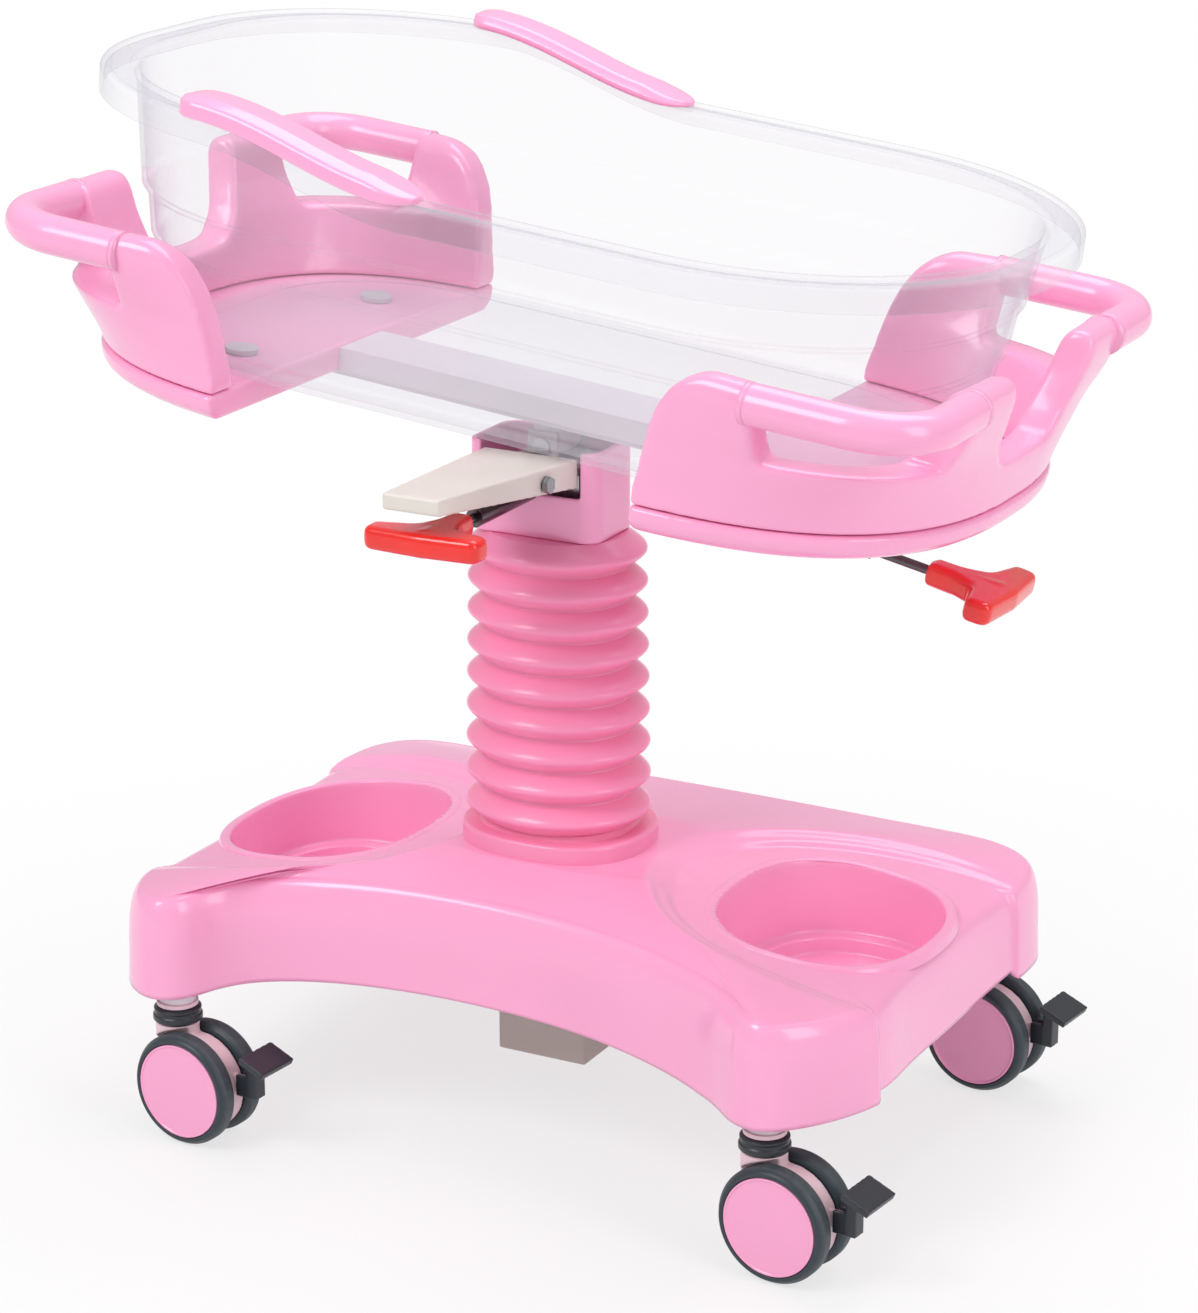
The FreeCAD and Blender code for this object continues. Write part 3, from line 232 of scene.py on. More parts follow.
def powder_coat(name, tint, roughness):
    finish = Finish(name, IOR=1.5)
    grain = finish.noise(0.0014, 3)
    finish.set(Base_Color=finish.blend_colours(shift(tint, 0.93), tint, finish.noise(0.05, 2)),
               Roughness=roughness + grain * 0.15,
               Normal=finish.bump(grain, 0.3, 0.0001, 0.001))
    return finish.material


steel_upright = drawn_metal("steel_upright", colour(196, 198, 202), 0.22, 2)
steel_across = drawn_metal("steel_across", colour(188, 190, 194), 0.24, 1)
steel_bolt = drawn_metal("steel_bolt", colour(150, 150, 156), 0.2, 0)
rod_front = drawn_metal("rod_front", colour(104, 98, 100), 0.16, 1)
rod_foot = drawn_metal("rod_foot", colour(104, 98, 100), 0.16, 0)
frame_paint = powder_coat("frame_paint", colour(126, 128, 130), 0.4)
white_paint = powder_coat("white_paint", colour(232, 224, 230), 0.36)
bracket_paint = powder_coat("bracket_paint", colour(168, 160, 158), 0.4)
spring_paint = powder_coat("spring_paint", colour(28, 29, 32), 0.28)
print("finishes made so far:", len(bpy.data.materials))

# %% [markdown]
# ## Red handles and the clear tub
# The T-handles are a tinted, slightly see-through plastic: light goes a little way in and comes out redder. The
# tub is clear acrylic. What makes clear plastic visible is its edges, where one looks along the wall instead of
# through it, so its opacity follows the angle between the surface and the eye, which Layer Weight gives. Its
# colour follows that angle too: edge on it turns a darker grey-lavender, which is painted shade standing in for
# the darker surroundings that refraction would show at the edges.

# %% Translucent finishes
def handle_finish():
    finish = Finish("handle_red", IOR=1.5, Coat_Weight=0.6, Coat_Roughness=0.05, Subsurface_Weight=0.35,
                    Subsurface_Scale=0.006, Subsurface_Radius=(1.0, 0.15, 0.1))
    clouds = finish.noise(0.03, 3)
    finish.set(Base_Color=finish.blend_colours(colour(226, 16, 10), colour(250, 34, 24), clouds),
               Roughness=0.2 + clouds * 0.06, Normal=finish.bump(finish.noise(0.003, 1), 0.15, 0.0001))
    return finish.material


def acrylic_finish(name, tint, clear, rim):
    """Clear sheet: clear is its opacity seen square on, and rim what is added where it is seen edge on."""
    finish = Finish(name, IOR=1.49, Roughness=0.05, Coat_Weight=0.0)
    facing = finish.node("ShaderNodeLayerWeight", output="Facing", Blend=0.35)
    haze = finish.noise(0.12, 2)
    # Painted shade: seen edge on, the sheet's colour turns a darker grey-lavender in place of what refraction
    # shows at its edges.
    finish.set(Base_Color=finish.blend_colours(tint, colour(146, 146, 166), (facing ** 2.0).held()))
    through = finish.node("ShaderNodeBsdfTransparent", Color=(0.988, 0.986, 0.99, 1))
    opacity = (clear + haze * 0.02 + facing ** 3.0 * rim).held()
    out = finish.tree.nodes["Material Output"]
    sheet = Value(finish, finish.shader.outputs[0])
    finish.join(finish.node("ShaderNodeMixShader", None, (opacity, through, sheet)), out.inputs["Surface"])
    return finish.material


handle_red = handle_finish()
clear_acrylic = acrylic_finish("clear_acrylic", colour(238, 237, 243), 0.028, 0.85)
print("finishes made:", len(bpy.data.materials))

# %% [markdown]
# ## Skins through rings
# Nearly every moulding here is a surface through a row of closed rings: the tub, the cover, a handle or a wheel.
# So one function joins rings into quads. Profiles are drawn as short polylines with a radius at each corner,
# because that is how a mould is dimensioned. Lengths are in millimetres, as in the CAD model.

# %% Skins and profiles
MM = 0.001


def skin(rings, closed=False, caps=(False, False)):
    """Points and faces of a surface through rings of equal length; a cap is a fan to the ring's middle."""
    count, points, faces = len(rings[0]), [np.asarray(ring, float) for ring in rings], []
    for k in range(len(rings) if closed else len(rings) - 1):
        a, b = k * count, (k + 1) % len(rings) * count
        faces += [(a + j, a + (j + 1) % count, b + (j + 1) % count, b + j) for j in range(count)]
    for cap, k in zip(caps, (0, len(rings) - 1)):
        if cap:
            middle = count * len(rings) + len(points) - len(rings)
            points.append(points[k].mean(axis=0)[None])
            faces += [(k * count + j, k * count + (j + 1) % count, middle) for j in range(count)]
    return np.concatenate(points), faces


def rounded(profile, steps=5):
    """A polyline of (a, b) or (a, b, radius) points with each corner rounded by its radius."""
    line = [np.array(profile[0][:2], float)]
    for before, corner, after in zip(profile, profile[1:], profile[2:]):
        at = np.array(corner[:2], float)
        if len(corner) < 3:
            line.append(at)
            continue
        back, ahead = np.array(before[:2]) - at, np.array(after[:2]) - at
        lengths = np.linalg.norm(back), np.linalg.norm(ahead)
        back, ahead = back / lengths[0], ahead / lengths[1]
        half = math.acos(max(-1.0, min(1.0, float(back @ ahead)))) / 2
        reach = min(corner[2] / math.tan(half), 0.49 * lengths[0], 0.49 * lengths[1])
        for t in np.linspace(0, 1, steps + 1):
            line.append(at + back * reach * (1 - t) ** 2 + ahead * reach * t ** 2)
    line.append(np.array(profile[-1][:2], float))
    return np.array(line)


def oval(centre, half_long, half_wide, power, count):
    """Plan points of a rounded oval about (centre, 0), as an array."""
    angle = 2 * np.pi * np.arange(count) / count
    c, s = np.cos(angle), np.sin(angle)
    return np.stack([centre + half_long * np.sign(c) * np.abs(c) ** (2 / power),
                     half_wide * np.sign(s) * np.abs(s) ** (2 / power)], axis=1)


def at_height(plan, height):
    """Plan points lifted to a height, or to one height for each point."""
    return np.column_stack([plan, np.broadcast_to(height, len(plan))])


def smooth_step(value):
    """0 below 0, 1 above 1, and a smooth ramp between."""
    value = np.clip(value, 0, 1)
    return value * value * (3 - 2 * value)


print("a corner of radius 5 becomes", len(rounded([(0, 0), (9, 0, 5), (9, 9)])) - 2, "points")

# %% Meshes and pieces
def raw_mesh(name, points, faces, place=Matrix()):
    """A mesh from millimetre points, moved to its place, with its normals facing outwards."""
    mesh = bpy.data.meshes.new(name)
    mesh.from_pydata([place @ Vector(p) for p in np.asarray(points) * MM], [], faces)
    work = bmesh.new()
    work.from_mesh(mesh)
    bmesh.ops.recalc_face_normals(work, faces=work.faces)
    work.to_mesh(mesh)
    work.free()
    mesh.shade_smooth()
    return mesh


def show(name, mesh, finish, body, slot, *nodes):
    """Puts a finished mesh in the scene as the piece that stands for some CAD nodes."""
    mesh.name = name
    mesh.materials.clear()
    mesh.materials.append(finish)
    piece = bpy.data.objects.new(name, mesh)
    bpy.context.scene.collection.objects.link(piece)
    if body:
        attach(piece, body)
    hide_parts(*nodes)
    print("%-28s %6d faces" % (name, len(mesh.polygons)))
    return piece


def joined(name, meshes):
    """One mesh from several."""
    work = bmesh.new()
    for mesh in meshes:
        work.from_mesh(mesh)
    result = bpy.data.meshes.new(name)
    work.to_mesh(result)
    work.free()
    result.shade_smooth()
    return result


def moved(mesh, place):
    """A copy of a mesh at another place, mirrored where the place mirrors."""
    copy = mesh.copy()
    copy.transform(place)
    if place.determinant() < 0:
        copy.flip_normals()
    return copy


TILT = (Matrix.Translation((-0.02, 0, 0.604)) @ Matrix.Rotation(math.radians(6), 4, "Y")
        @ Matrix.Translation((0.02, 0, -0.604)))
print("the cradle stands tilted by", round(math.degrees(TILT.to_euler().y), 3), "degrees")

# %% [markdown]
# ## Rounding by voxels
# A cradle shell has a dozen edges that meet in odd corners, where fillets are hard to build. A mould maker rounds
# them all with one ball cutter. The same can be done with voxels: the sharp solid gets a fine even skin, and that
# skin is relaxed towards the mean of its neighbours, so that every edge and corner gets soft at once.

# %% Modifiers and carving
def evaluated(name, mesh, modifiers):
    """The mesh after a row of (kind, settings) modifiers."""
    carrier = bpy.data.objects.new(name, mesh)
    bpy.context.scene.collection.objects.link(carrier)
    for kind, settings in modifiers:
        modifier = carrier.modifiers.new(kind, kind)
        for key, value in settings.items():
            setattr(modifier, key, value)
    bpy.context.view_layer.update()
    result = bpy.data.meshes.new_from_object(carrier.evaluated_get(bpy.context.evaluated_depsgraph_get()))
    bpy.data.objects.remove(carrier)
    return result


def carve(name, body, cutters):
    """A solid less some other solids; each is a (points, faces) pair."""
    tools = []
    for points, faces in cutters:
        tool = bpy.data.objects.new(name + "_cutter", raw_mesh(name + "_cutter", points, faces))
        bpy.context.scene.collection.objects.link(tool)
        tools.append(tool)
    cuts = [("BOOLEAN", {"operation": "DIFFERENCE", "solver": "EXACT", "object": tool}) for tool in tools]
    result = evaluated(name, raw_mesh(name, *body), cuts)
    for tool in tools:
        bpy.data.objects.remove(tool)
    return result


# %% Voxel mouldings
def soften(mesh, rounds, weight=None):
    """Relaxes a skin: each point moves half way to the mean of its neighbours, some rounds over."""
    count = len(mesh.vertices)
    points, edges = np.empty(count * 3), np.empty(len(mesh.edges) * 2, int)
    mesh.vertices.foreach_get("co", points)
    mesh.edges.foreach_get("vertices", edges)
    points, edges = points.reshape(-1, 3), edges.reshape(-1, 2)
    here, there = np.concatenate([edges, edges[:, ::-1]]).T
    number = np.bincount(here, minlength=count)
    strength = 0.5 if weight is None else 0.5 * weight(points / MM)[:, None]
    for _ in range(rounds):
        mean = np.stack([np.bincount(here, points[there, axis], count) / number for axis in range(3)], axis=1)
        points += strength * (mean - points)
    mesh.vertices.foreach_set("co", points.ravel())
    mesh.update()


def moulded(name, mesh, voxel, rounds, weight=None):
    """A closed, even skin round a solid, softened."""
    result = evaluated(name, mesh, [("REMESH", {"mode": "VOXEL", "voxel_size": voxel * MM})])
    soften(result, rounds, weight)
    result.shade_smooth()
    return result


def cad_copy(node):
    """A welded copy of a CAD node's mesh; the node itself stays as it is."""
    copy = cad[node].data.copy()
    work = bmesh.new()
    work.from_mesh(copy)
    bmesh.ops.remove_doubles(work, verts=work.verts, dist=0.00002)
    work.to_mesh(copy)
    work.free()
    return copy


print("loose points in the CAD mesh of the column head:", len(cad["column_head"].data.vertices))

# %% [markdown]
# ## Base cover: plan and heights
# The cover is a moulded shell, 4 mm thick. Its plan has four lobes over the casters, a waist in front and a
# straight back, and its top is an oval crown round the column. It could be modelled by subdividing a cage. Rings
# from the outline inward are easier to keep true to size: the first few make the round shoulder, and the rest
# lead on to the crown. At each end a tray is sunk into it. A mould has no sharp edges, so tray and body meet by
# a smooth minimum: the lower of two heights, blended over some millimetres.

# %% Plan and heights of the cover
OUTLINE = [(351, 0), (351, 60), (352, 110), (354, 150), (353, 185), (344, 214), (322, 235), (288, 245),
           (250, 243), (200, 237), (100, 230), (0, 227), (-100, 229), (-200, 236), (-250, 243),
           (-288, 245), (-320, 234), (-340, 209), (-347, 178), (-349, 145), (-348, 90), (-347, 0),
           (-348, -90), (-348, -140), (-345, -176), (-332, -207), (-310, -231), (-283, -240),
           (-264, -228), (-252, -205), (-236, -182), (-205, -163), (-160, -150), (-88, -142), (-12, -142),
           (50, -147), (108, -157), (165, -174), (215, -197), (245, -219), (263, -234), (284, -240),
           (315, -220), (338, -185), (352, -148), (352, -80)]
# degrees round the crown that belong to each point of the outline
CROWN_TURNS = np.interp(np.arange(46), (0, 11, 21, 34, 46), (0, 90, 180, 268, 360))
CROWN_SIZE, CROWN_Z = (150, 78), 250.5
TRAY_CENTRE, TRAY_LONG, TRAY_WIDE = 340, 232, 149
WELL_X, WELL_HALF, TRAY_Z, TRAY_SLOPE = 241, (90, 105), 225.7, math.tan(math.radians(5.5))
MELT = 15                                       # the body and the tray blend over this height


def smooth_loop(points, parts):
    """Periodic cubic spline through the points, with a number of parts for each span."""
    p = np.array(points, float)
    count = len(p)
    span = np.linalg.norm(np.roll(p, -1, axis=0) - p, axis=1)
    system, right = np.zeros((count, count)), np.zeros_like(p)
    for k in range(count):
        before, after = span[k - 1], span[k]
        system[k, k - 1] = before
        system[k, k] = 2 * (before + after)
        system[k, (k + 1) % count] = after
        right[k] = 6 * ((p[(k + 1) % count] - p[k]) / after - (p[k] - p[k - 1]) / before)
    bend = np.linalg.solve(system, right)
    line = []
    for k in range(count):
        b = (np.arange(parts[k]) / parts[k])[:, None]
        a, following = 1 - b, (k + 1) % count
        line.append(a * p[k] + b * p[following]
                    + ((a ** 3 - a) * bend[k] + (b ** 3 - b) * bend[following]) * span[k] ** 2 / 6)
    return np.concatenate(line)


def signed_power(value, power):
    return np.sign(value) * np.abs(value) ** power


def tray_height(x, y):
    """Height of the sunken tray and of the soft double step round it, over the whole cover."""
    along = np.abs(x)
    u, v = np.abs(along - TRAY_CENTRE) / TRAY_LONG + 1e-6, np.abs(y) / TRAY_WIDE + 1e-6
    far = (u ** 2.3 + v ** 2.3) ** (1 / 2.3)
    outside = (far - 1) * far ** 1.3 / np.sqrt((u ** 1.3 / TRAY_LONG) ** 2 + (v ** 1.3 / TRAY_WIDE) ** 2)
    wall = np.mean([np.interp(outside + slip, (0, 5, 13, 22, 60), (0, 5.5, 8.5, 26, 130))
                    for slip in np.linspace(-2.5, 2.5, 7)], axis=0)
    return TRAY_Z - TRAY_SLOPE * (along - WELL_X) + wall


def blended_low(a, b, width):
    """The lower of two heights, with the corner between them rounded."""
    near = np.clip(width - np.abs(a - b), 0, None) / width
    return np.minimum(a, b) - near * near * width / 4


print("outline points:", len(OUTLINE), " tray floor at the well:", TRAY_Z)

# %% [markdown]
# ## Base cover: rings and faces
# Every ring has the same number of points, so one list of faces joins them all. The end walls are set back a
# few millimetres between the lobes and roll over with a larger radius. The faces over the wells are left out,
# and a cup with a rounded lip closes each opening, as an insert in the mould would.

# %% Points and directions of the cover
PARTS = [22 if abs(x) > 300 and 85 < abs(y) < 190 else 12 for x, y in OUTLINE]
PLAN = smooth_loop(OUTLINE, PARTS)
ALONG = np.roll(PLAN, -1, axis=0) - np.roll(PLAN, 1, axis=0)
INWARD = np.column_stack([-ALONG[:, 1], ALONG[:, 0]]) / np.linalg.norm(ALONG, axis=1)[:, None]
TURN = np.radians(np.concatenate([a + (b - a) * np.arange(n) / n for a, b, n in
                                  zip(CROWN_TURNS, np.append(CROWN_TURNS[1:], 360), PARTS)]))
CROWN = np.column_stack([half * signed_power(turn, 0.8)
                         for half, turn in zip(CROWN_SIZE, (np.cos(TURN), np.sin(TURN)))])
COVER_WALL, SHOULDER = 4, 15                    # thickness, and how far in the round shoulder reaches
COVER_LOW, FLANK_TOP = 132, 160                 # the skirt's edge, and where the shoulder starts to curve in
SHOULDER_RISE, CROWN_RISE, DROOP = 71.5, 19, 11  # up the shoulder, on to the crown, and down at the far ends


def end_wall(x, y):
    """1 on the end walls between the lobes and 0 elsewhere."""
    return smooth_step((147 - np.abs(y)) / 7) * smooth_step((np.abs(x) - 285) / 30)


def lower_edge(x, y):
    """Height of the skirt's edge: low at the lobes, arched between them."""
    side = 9 * np.clip(1 - ((x + 20) / 235) ** 2, 0, None)
    ends = end_wall(x, y) * (3 + 5 * np.clip(np.abs(y) / 140, 0, 1) ** 2)
    return COVER_LOW + side * (np.abs(x) < 300) + ends


print("points in a ring of the cover:", len(PLAN))

# %% Rings of the cover
def cover_ring(inside, share=0.0, wall=0.0):
    """One ring of the cover's outer face, or of its inner face for a wall thickness."""
    start = PLAN + INWARD * (inside + wall)
    spot = start + share * (CROWN - start)
    end = end_wall(*PLAN.T)
    x = spot[:, 0] - np.sign(spot[:, 0]) * end * (1 - share) * 6 * (1 - (PLAN[:, 1] / 180) ** 2 * 0.4)
    depth = (inside + share * np.linalg.norm(CROWN - start, axis=1)) / (SHOULDER * (1 + 0.5 * end))
    shoulder = (1 - (1 - np.clip(depth, 0, 1)) ** 2.6) ** (1 / 2.6)
    droop = DROOP * (x / 283) ** 2 * (1 - share)
    height = FLANK_TOP + (SHOULDER_RISE - droop) * shoulder + CROWN_RISE * share
    return np.column_stack([x, spot[:, 1], blended_low(height, tray_height(x, spot[:, 1]), MELT) - wall])


def crown_ring(share, wall=0.0):
    """Ring a share of the way over the crown, from its outline to the column's hole."""
    angle = np.arctan2(CROWN[:, 1] / CROWN_SIZE[1], CROWN[:, 0] / CROWN_SIZE[0])
    hole = np.column_stack([-20 + 50 * np.cos(angle), 39 * np.sin(angle)])
    x, y = (CROWN + share * (hole - CROWN)).T
    return np.column_stack([x, y, blended_low(np.full_like(x, CROWN_Z), tray_height(x, y), MELT) - wall])


def over_well(points, margin):
    """True for points over either well, drawn larger by a margin."""
    near = np.abs(np.abs(points[:, 0]) - WELL_X) / (WELL_HALF[0] + margin)
    return near ** 2.4 + (np.abs(points[:, 1]) / (WELL_HALF[1] + margin)) ** 2.4 < 1


print("points of the top edge over a well:", int(over_well(cover_ring(SHOULDER, 0.5), 0).sum()))

# %% Base cover
def make_cover():
    """The cover's skirt, shoulder, top and inner face as one closed skin, open over the wells."""
    edge, shoulder = cover_ring(0.0), cover_ring(0.0)
    edge[:, 2] = lower_edge(*PLAN.T)
    edge[:, :2] -= INWARD * 1.2
    skirt = [edge + (shoulder - edge) * t for t in np.linspace(0, 1, 8)[:-1]]
    steps = [(SHOULDER * t * t, 0.0) for t in np.linspace(0, 1, 18)]
    steps += [(SHOULDER, t) for t in np.linspace(0, 1, 52)[1:]]
    rings = skirt + [cover_ring(*step) for step in steps] + [crown_ring(t) for t in np.linspace(0, 1, 20)[1:]]
    inside = [crown_ring(t, wall=COVER_WALL) for t in (1.0, 0.5)]
    inside += [cover_ring(*step, wall=COVER_WALL) for step in steps[::-3]]
    edge_inside = cover_ring(0.0, wall=COVER_WALL)
    edge_inside[:, 2] = edge[:, 2]
    points, faces = skin(rings + inside + [edge_inside], closed=True)
    gone = over_well(points, -1.5)
    return raw_mesh("cover", points, [face for face in faces if not any(gone[k] for k in face)])


def well_plan(side, outset):
    """Plan of a well, drawn larger by an outset."""
    return oval(side * WELL_X, WELL_HALF[0] + outset, WELL_HALF[1] + outset, 2.4, 220)


def make_well(side):
    """Cup of one well: a lip on the tray, a draughted wall, a step and a flat floor."""
    lip = rounded([(11, -7), (8.5, 0.2, 1), (4, 1.1, 3), (0, 0.2, 3), (-1.2, -5)], 5)
    wall = rounded([(-1.2, 210), (-5.5, 166, 4), (-16, 165.2, 2.5), (-18.5, 152, 3), (-30, 152)], 5)
    rings = []
    for outset, drop in lip:
        plan = well_plan(side, outset)
        rings.append(at_height(plan, TRAY_Z - TRAY_SLOPE * (np.abs(plan[:, 0]) - WELL_X) + drop))
    rings += [at_height(well_plan(side, outset), height) for outset, height in wall[1:]]
    return skin(rings, caps=(False, True))


cover_parts = [make_cover()] + [raw_mesh("cup", *make_well(side)) for side in (1, -1)]
show("base_cover_moulding", joined("cover", cover_parts), pink_moulding, "base", "cover_pink", "base_cover")

# %% [markdown]
# ## Column: collar and bellows
# The collar is a plain turned-over ring. The bellows is the part that follows a rule: nine equal folds, each a
# thin lip with straight flanks down to a narrow valley. Geometry Nodes states the rule once. A vertical line is
# resampled, each point gets the fold's radius for its height, and the line becomes a tube of that radius. The
# tube is then drawn out along X, because the column is oval. It is drawn once, from the base up to the mast as
# it stands, and is not attached to the column.

# %% Collar
def make_collar():
    """Turned-over ring, drawn as insets from its outer edge and heights."""
    profile = rounded([(0, 244), (0, 266, 4), (15, 266, 3), (20, 270, 2), (44, 270), (44, 247)], 5)
    return skin([at_height(oval(-18, 84 - inset, 73 - inset * 0.85, 2.4, 160), z) for inset, z in profile])


collar = raw_mesh("collar", *make_collar())
show("column_collar_ring", collar, bellows_rubber, "base", "cover_pink", "column_collar")

# %% Node group of the bellows
def bellows_nodes():
    """Node group that draws a folded sleeve of any height, number of folds and depth."""
    group = bpy.data.node_groups.new("folded_sleeve", "GeometryNodeTree")
    interface = group.interface
    inputs = (("Bottom", 0.2685), ("Top", 0.527), ("Folds", 9.0), ("Radius", 0.072), ("Taper", 0.055),
              ("Depth", 0.0145), ("Lip", 0.32), ("Stretch", 1.153), ("Middle", -0.02))
    for name, value in inputs:
        interface.new_socket(name=name, in_out="INPUT", socket_type="NodeSocketFloat").default_value = value
    interface.new_socket(name="Material", in_out="INPUT", socket_type="NodeSocketMaterial")
    interface.new_socket(name="Geometry", in_out="OUTPUT", socket_type="NodeSocketGeometry")
    link, given = group.links.new, group.nodes.new("NodeGroupInput").outputs

    def node(kind, *values, **settings):
        made = group.nodes.new(kind)
        for key, value in settings.items():
            setattr(made, key, value)
        for socket, value in zip(made.inputs, values):
            if isinstance(value, bpy.types.NodeSocket):
                link(value, socket)
            elif value is not None:
                socket.default_value = value
        return made.outputs[0]

    def sum_of(operation, *values):
        return node("ShaderNodeMath", *values, operation=operation)

    low = node("ShaderNodeCombineXYZ", given["Middle"], 0.0, given["Bottom"])
    high = node("ShaderNodeCombineXYZ", given["Middle"], 0.0, given["Top"])
    line = node("GeometryNodeCurvePrimitiveLine", low, high)
    steps = sum_of("ADD", sum_of("MULTIPLY", given["Folds"], 28.0), 1.0)
    fine = node("GeometryNodeResampleCurve", line)
    link(steps, fine.node.inputs["Count"])
    share = group.nodes.new("GeometryNodeSplineParameter").outputs["Factor"]
    swing = sum_of("PINGPONG", sum_of("MULTIPLY", share, given["Folds"]), 0.5)
    away = sum_of("SUBTRACT", 1.0, sum_of("MULTIPLY", swing, 2.0))
    lip2 = sum_of("MULTIPLY", given["Lip"], given["Lip"])
    flank = sum_of("SUBTRACT", sum_of("SQRT", sum_of("ADD", sum_of("MULTIPLY", away, away), lip2)), given["Lip"])
    whole = sum_of("SUBTRACT", sum_of("SQRT", sum_of("ADD", 1.0, lip2)), given["Lip"])
    drop = sum_of("MULTIPLY", sum_of("DIVIDE", flank, whole), given["Depth"])
    lean = sum_of("SUBTRACT", 1.0, sum_of("MULTIPLY", share, given["Taper"]))
    radius = sum_of("SUBTRACT", sum_of("MULTIPLY", given["Radius"], lean), drop)
    circle = node("GeometryNodeCurvePrimitiveCircle", 144)
    circle.node.inputs["Radius"].default_value = 1.0
    sweep = group.nodes.new("GeometryNodeCurveToMesh")
    sized = node("GeometryNodeSetCurveRadius", fine)
    link(radius, sized.node.inputs["Radius"])
    link(sized, sweep.inputs["Curve"])
    link(circle, sweep.inputs["Profile Curve"])
    sweep.inputs["Fill Caps"].default_value = True
    if "Scale" in sweep.inputs:
        link(group.nodes.new("GeometryNodeInputRadius").outputs[0], sweep.inputs["Scale"])
    place = node("ShaderNodeSeparateXYZ", group.nodes.new("GeometryNodeInputPosition").outputs[0])
    x = sum_of("MULTIPLY_ADD", sum_of("SUBTRACT", place, given["Middle"]), given["Stretch"], given["Middle"])
    parts = place.node.outputs
    oval_tube = node("GeometryNodeSetPosition", sweep.outputs[0], None,
                     node("ShaderNodeCombineXYZ", x, parts["Y"], parts["Z"]))
    real = node("GeometryNodeRealizeInstances", node("GeometryNodeSetShadeSmooth", oval_tube))
    dressed = node("GeometryNodeSetMaterial", real, None, given["Material"])
    link(dressed, group.nodes.new("NodeGroupOutput").inputs[0])
    return group


folded_sleeve = bellows_nodes()
print("nodes that draw the bellows:", len(folded_sleeve.nodes))

# %% Bellows
def grown(name, group, **inputs):
    """The mesh that a node group makes with the given named inputs."""
    carrier = bpy.data.objects.new(name, bpy.data.meshes.new(name))
    bpy.context.scene.collection.objects.link(carrier)
    modifier = carrier.modifiers.new(name, "NODES")
    modifier.node_group = group
    sockets = {item.name: item.identifier for item in group.interface.items_tree if item.in_out == "INPUT"}
    for key, value in inputs.items():
        modifier[sockets[key]] = value
    bpy.context.view_layer.update()
    mesh = bpy.data.meshes.new_from_object(carrier.evaluated_get(bpy.context.evaluated_depsgraph_get()))
    bpy.data.objects.remove(carrier)
    return mesh


sleeve = show("bellows_sleeve", grown("bellows", folded_sleeve, Material=bellows_rubber), bellows_rubber,
              None, "bellows_pink", "bellows")
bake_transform(sleeve)

# %% [markdown]
# ## Column head, height lever and foot box
# The head is a folded-over cap with a dark slot in front. The lever is a beige channel that narrows towards its
# tip. Both come from their CAD solids with the voxel skin, which only takes off the sharp edges.

# %% Head, lever and box
show("column_head_moulding", moulded("head", cad_copy("column_head"), 1.3, 5), pink_moulding, "mast",
     "shroud_pink", "column_head")
show("height_lever_moulding", moulded("lever", cad_copy("height_lever"), 1.2, 6), lever_beige, "height_lever",
     "lever_beige", "height_lever")
show("foot_box_moulding", moulded("box", cad_copy("column_foot_box"), 1.4, 5), box_beige, "base", "beige",
     "column_foot_box")

# %% [markdown]
# ## Release handles
# Each red handle is a delta: a round socket for the rod that spreads into a thick flat bar for the fingers. One
# outline, inset a little towards the top and bottom, gives the delta its soft edges. A loft of ovals gives the
# socket, and the voxel skin melts the two into one moulding.

# %% T-handles
def make_grip():
    """A soft-edged delta plate melted into the round socket that holds the rod."""
    half = rounded([(0, 0), (0, 10.5, 4), (24, 11.5, 30), (44, 20, 14), (52, 54, 8), (74, 52.5, 9), (77.5, 0)], 6)
    outline = np.concatenate([half, half[::-1][1:-1] * (1, -1)])
    along = np.roll(outline, -1, axis=0) - np.roll(outline, 1, axis=0)
    inward = np.column_stack([along[:, 1], -along[:, 0]]) / np.linalg.norm(along, axis=1)[:, None]
    plate = [at_height(outline + inward * inset, z) for z, inset in
             ((-10, 5), (-9, 2.4), (-7, 0.6), (-4, 0), (4, 0), (7, 0.6), (9, 2.4), (10, 5))]
    socket = []
    for x, half_wide, half_thick in ((0, 9, 9), (1.5, 10.6, 10.6), (20, 11.6, 11), (45, 13, 11.5), (62, 16, 12),
                                     (70, 13, 10), (73, 8, 6)):
        across, up = oval(0, half_wide, half_thick, 2.2, 48).T
        socket.append(np.column_stack([np.full(48, x), across, up - 1.2]))
    both = joined("grip", [raw_mesh("delta", *skin(plate, caps=(True, True))),
                           raw_mesh("socket", *skin(socket, caps=(True, True)))])
    return moulded("grip", both, 1.1, 8)


grip = make_grip()
front_grip_place = Matrix.Translation((-0.026, -0.150, 0.568)) @ Matrix.Rotation(math.radians(-90), 4, "Z")
foot_rod_drop = math.radians(5.7)
foot_grip_place = (TILT @ Matrix.Translation((0.2873 + 0.04 * math.cos(foot_rod_drop), 0,
                                              0.5771 - 0.04 * math.sin(foot_rod_drop)))
                   @ Matrix.Rotation(foot_rod_drop, 4, "Y"))
show("front_grip_moulding", moved(grip, front_grip_place), handle_red, "front_release", "handle_red",
     "front_release_grip")
show("foot_grip_moulding", moved(grip, foot_grip_place), handle_red, "foot_release", "handle_red",
     "foot_release_grip")

# %% [markdown]
# ## Cradle shells and trays
# Each end of the cradle is a deep U of moulded plastic on a shallow tray. The wall is an annulus of squared
# ovals that flares upwards and ends in a round top. A slope takes off its side edge, a dip its middle, and two
# corner gaps leave posts that carry the grab handles. The upper edges are for hands, so they are relaxed longer
# than the lower ones.

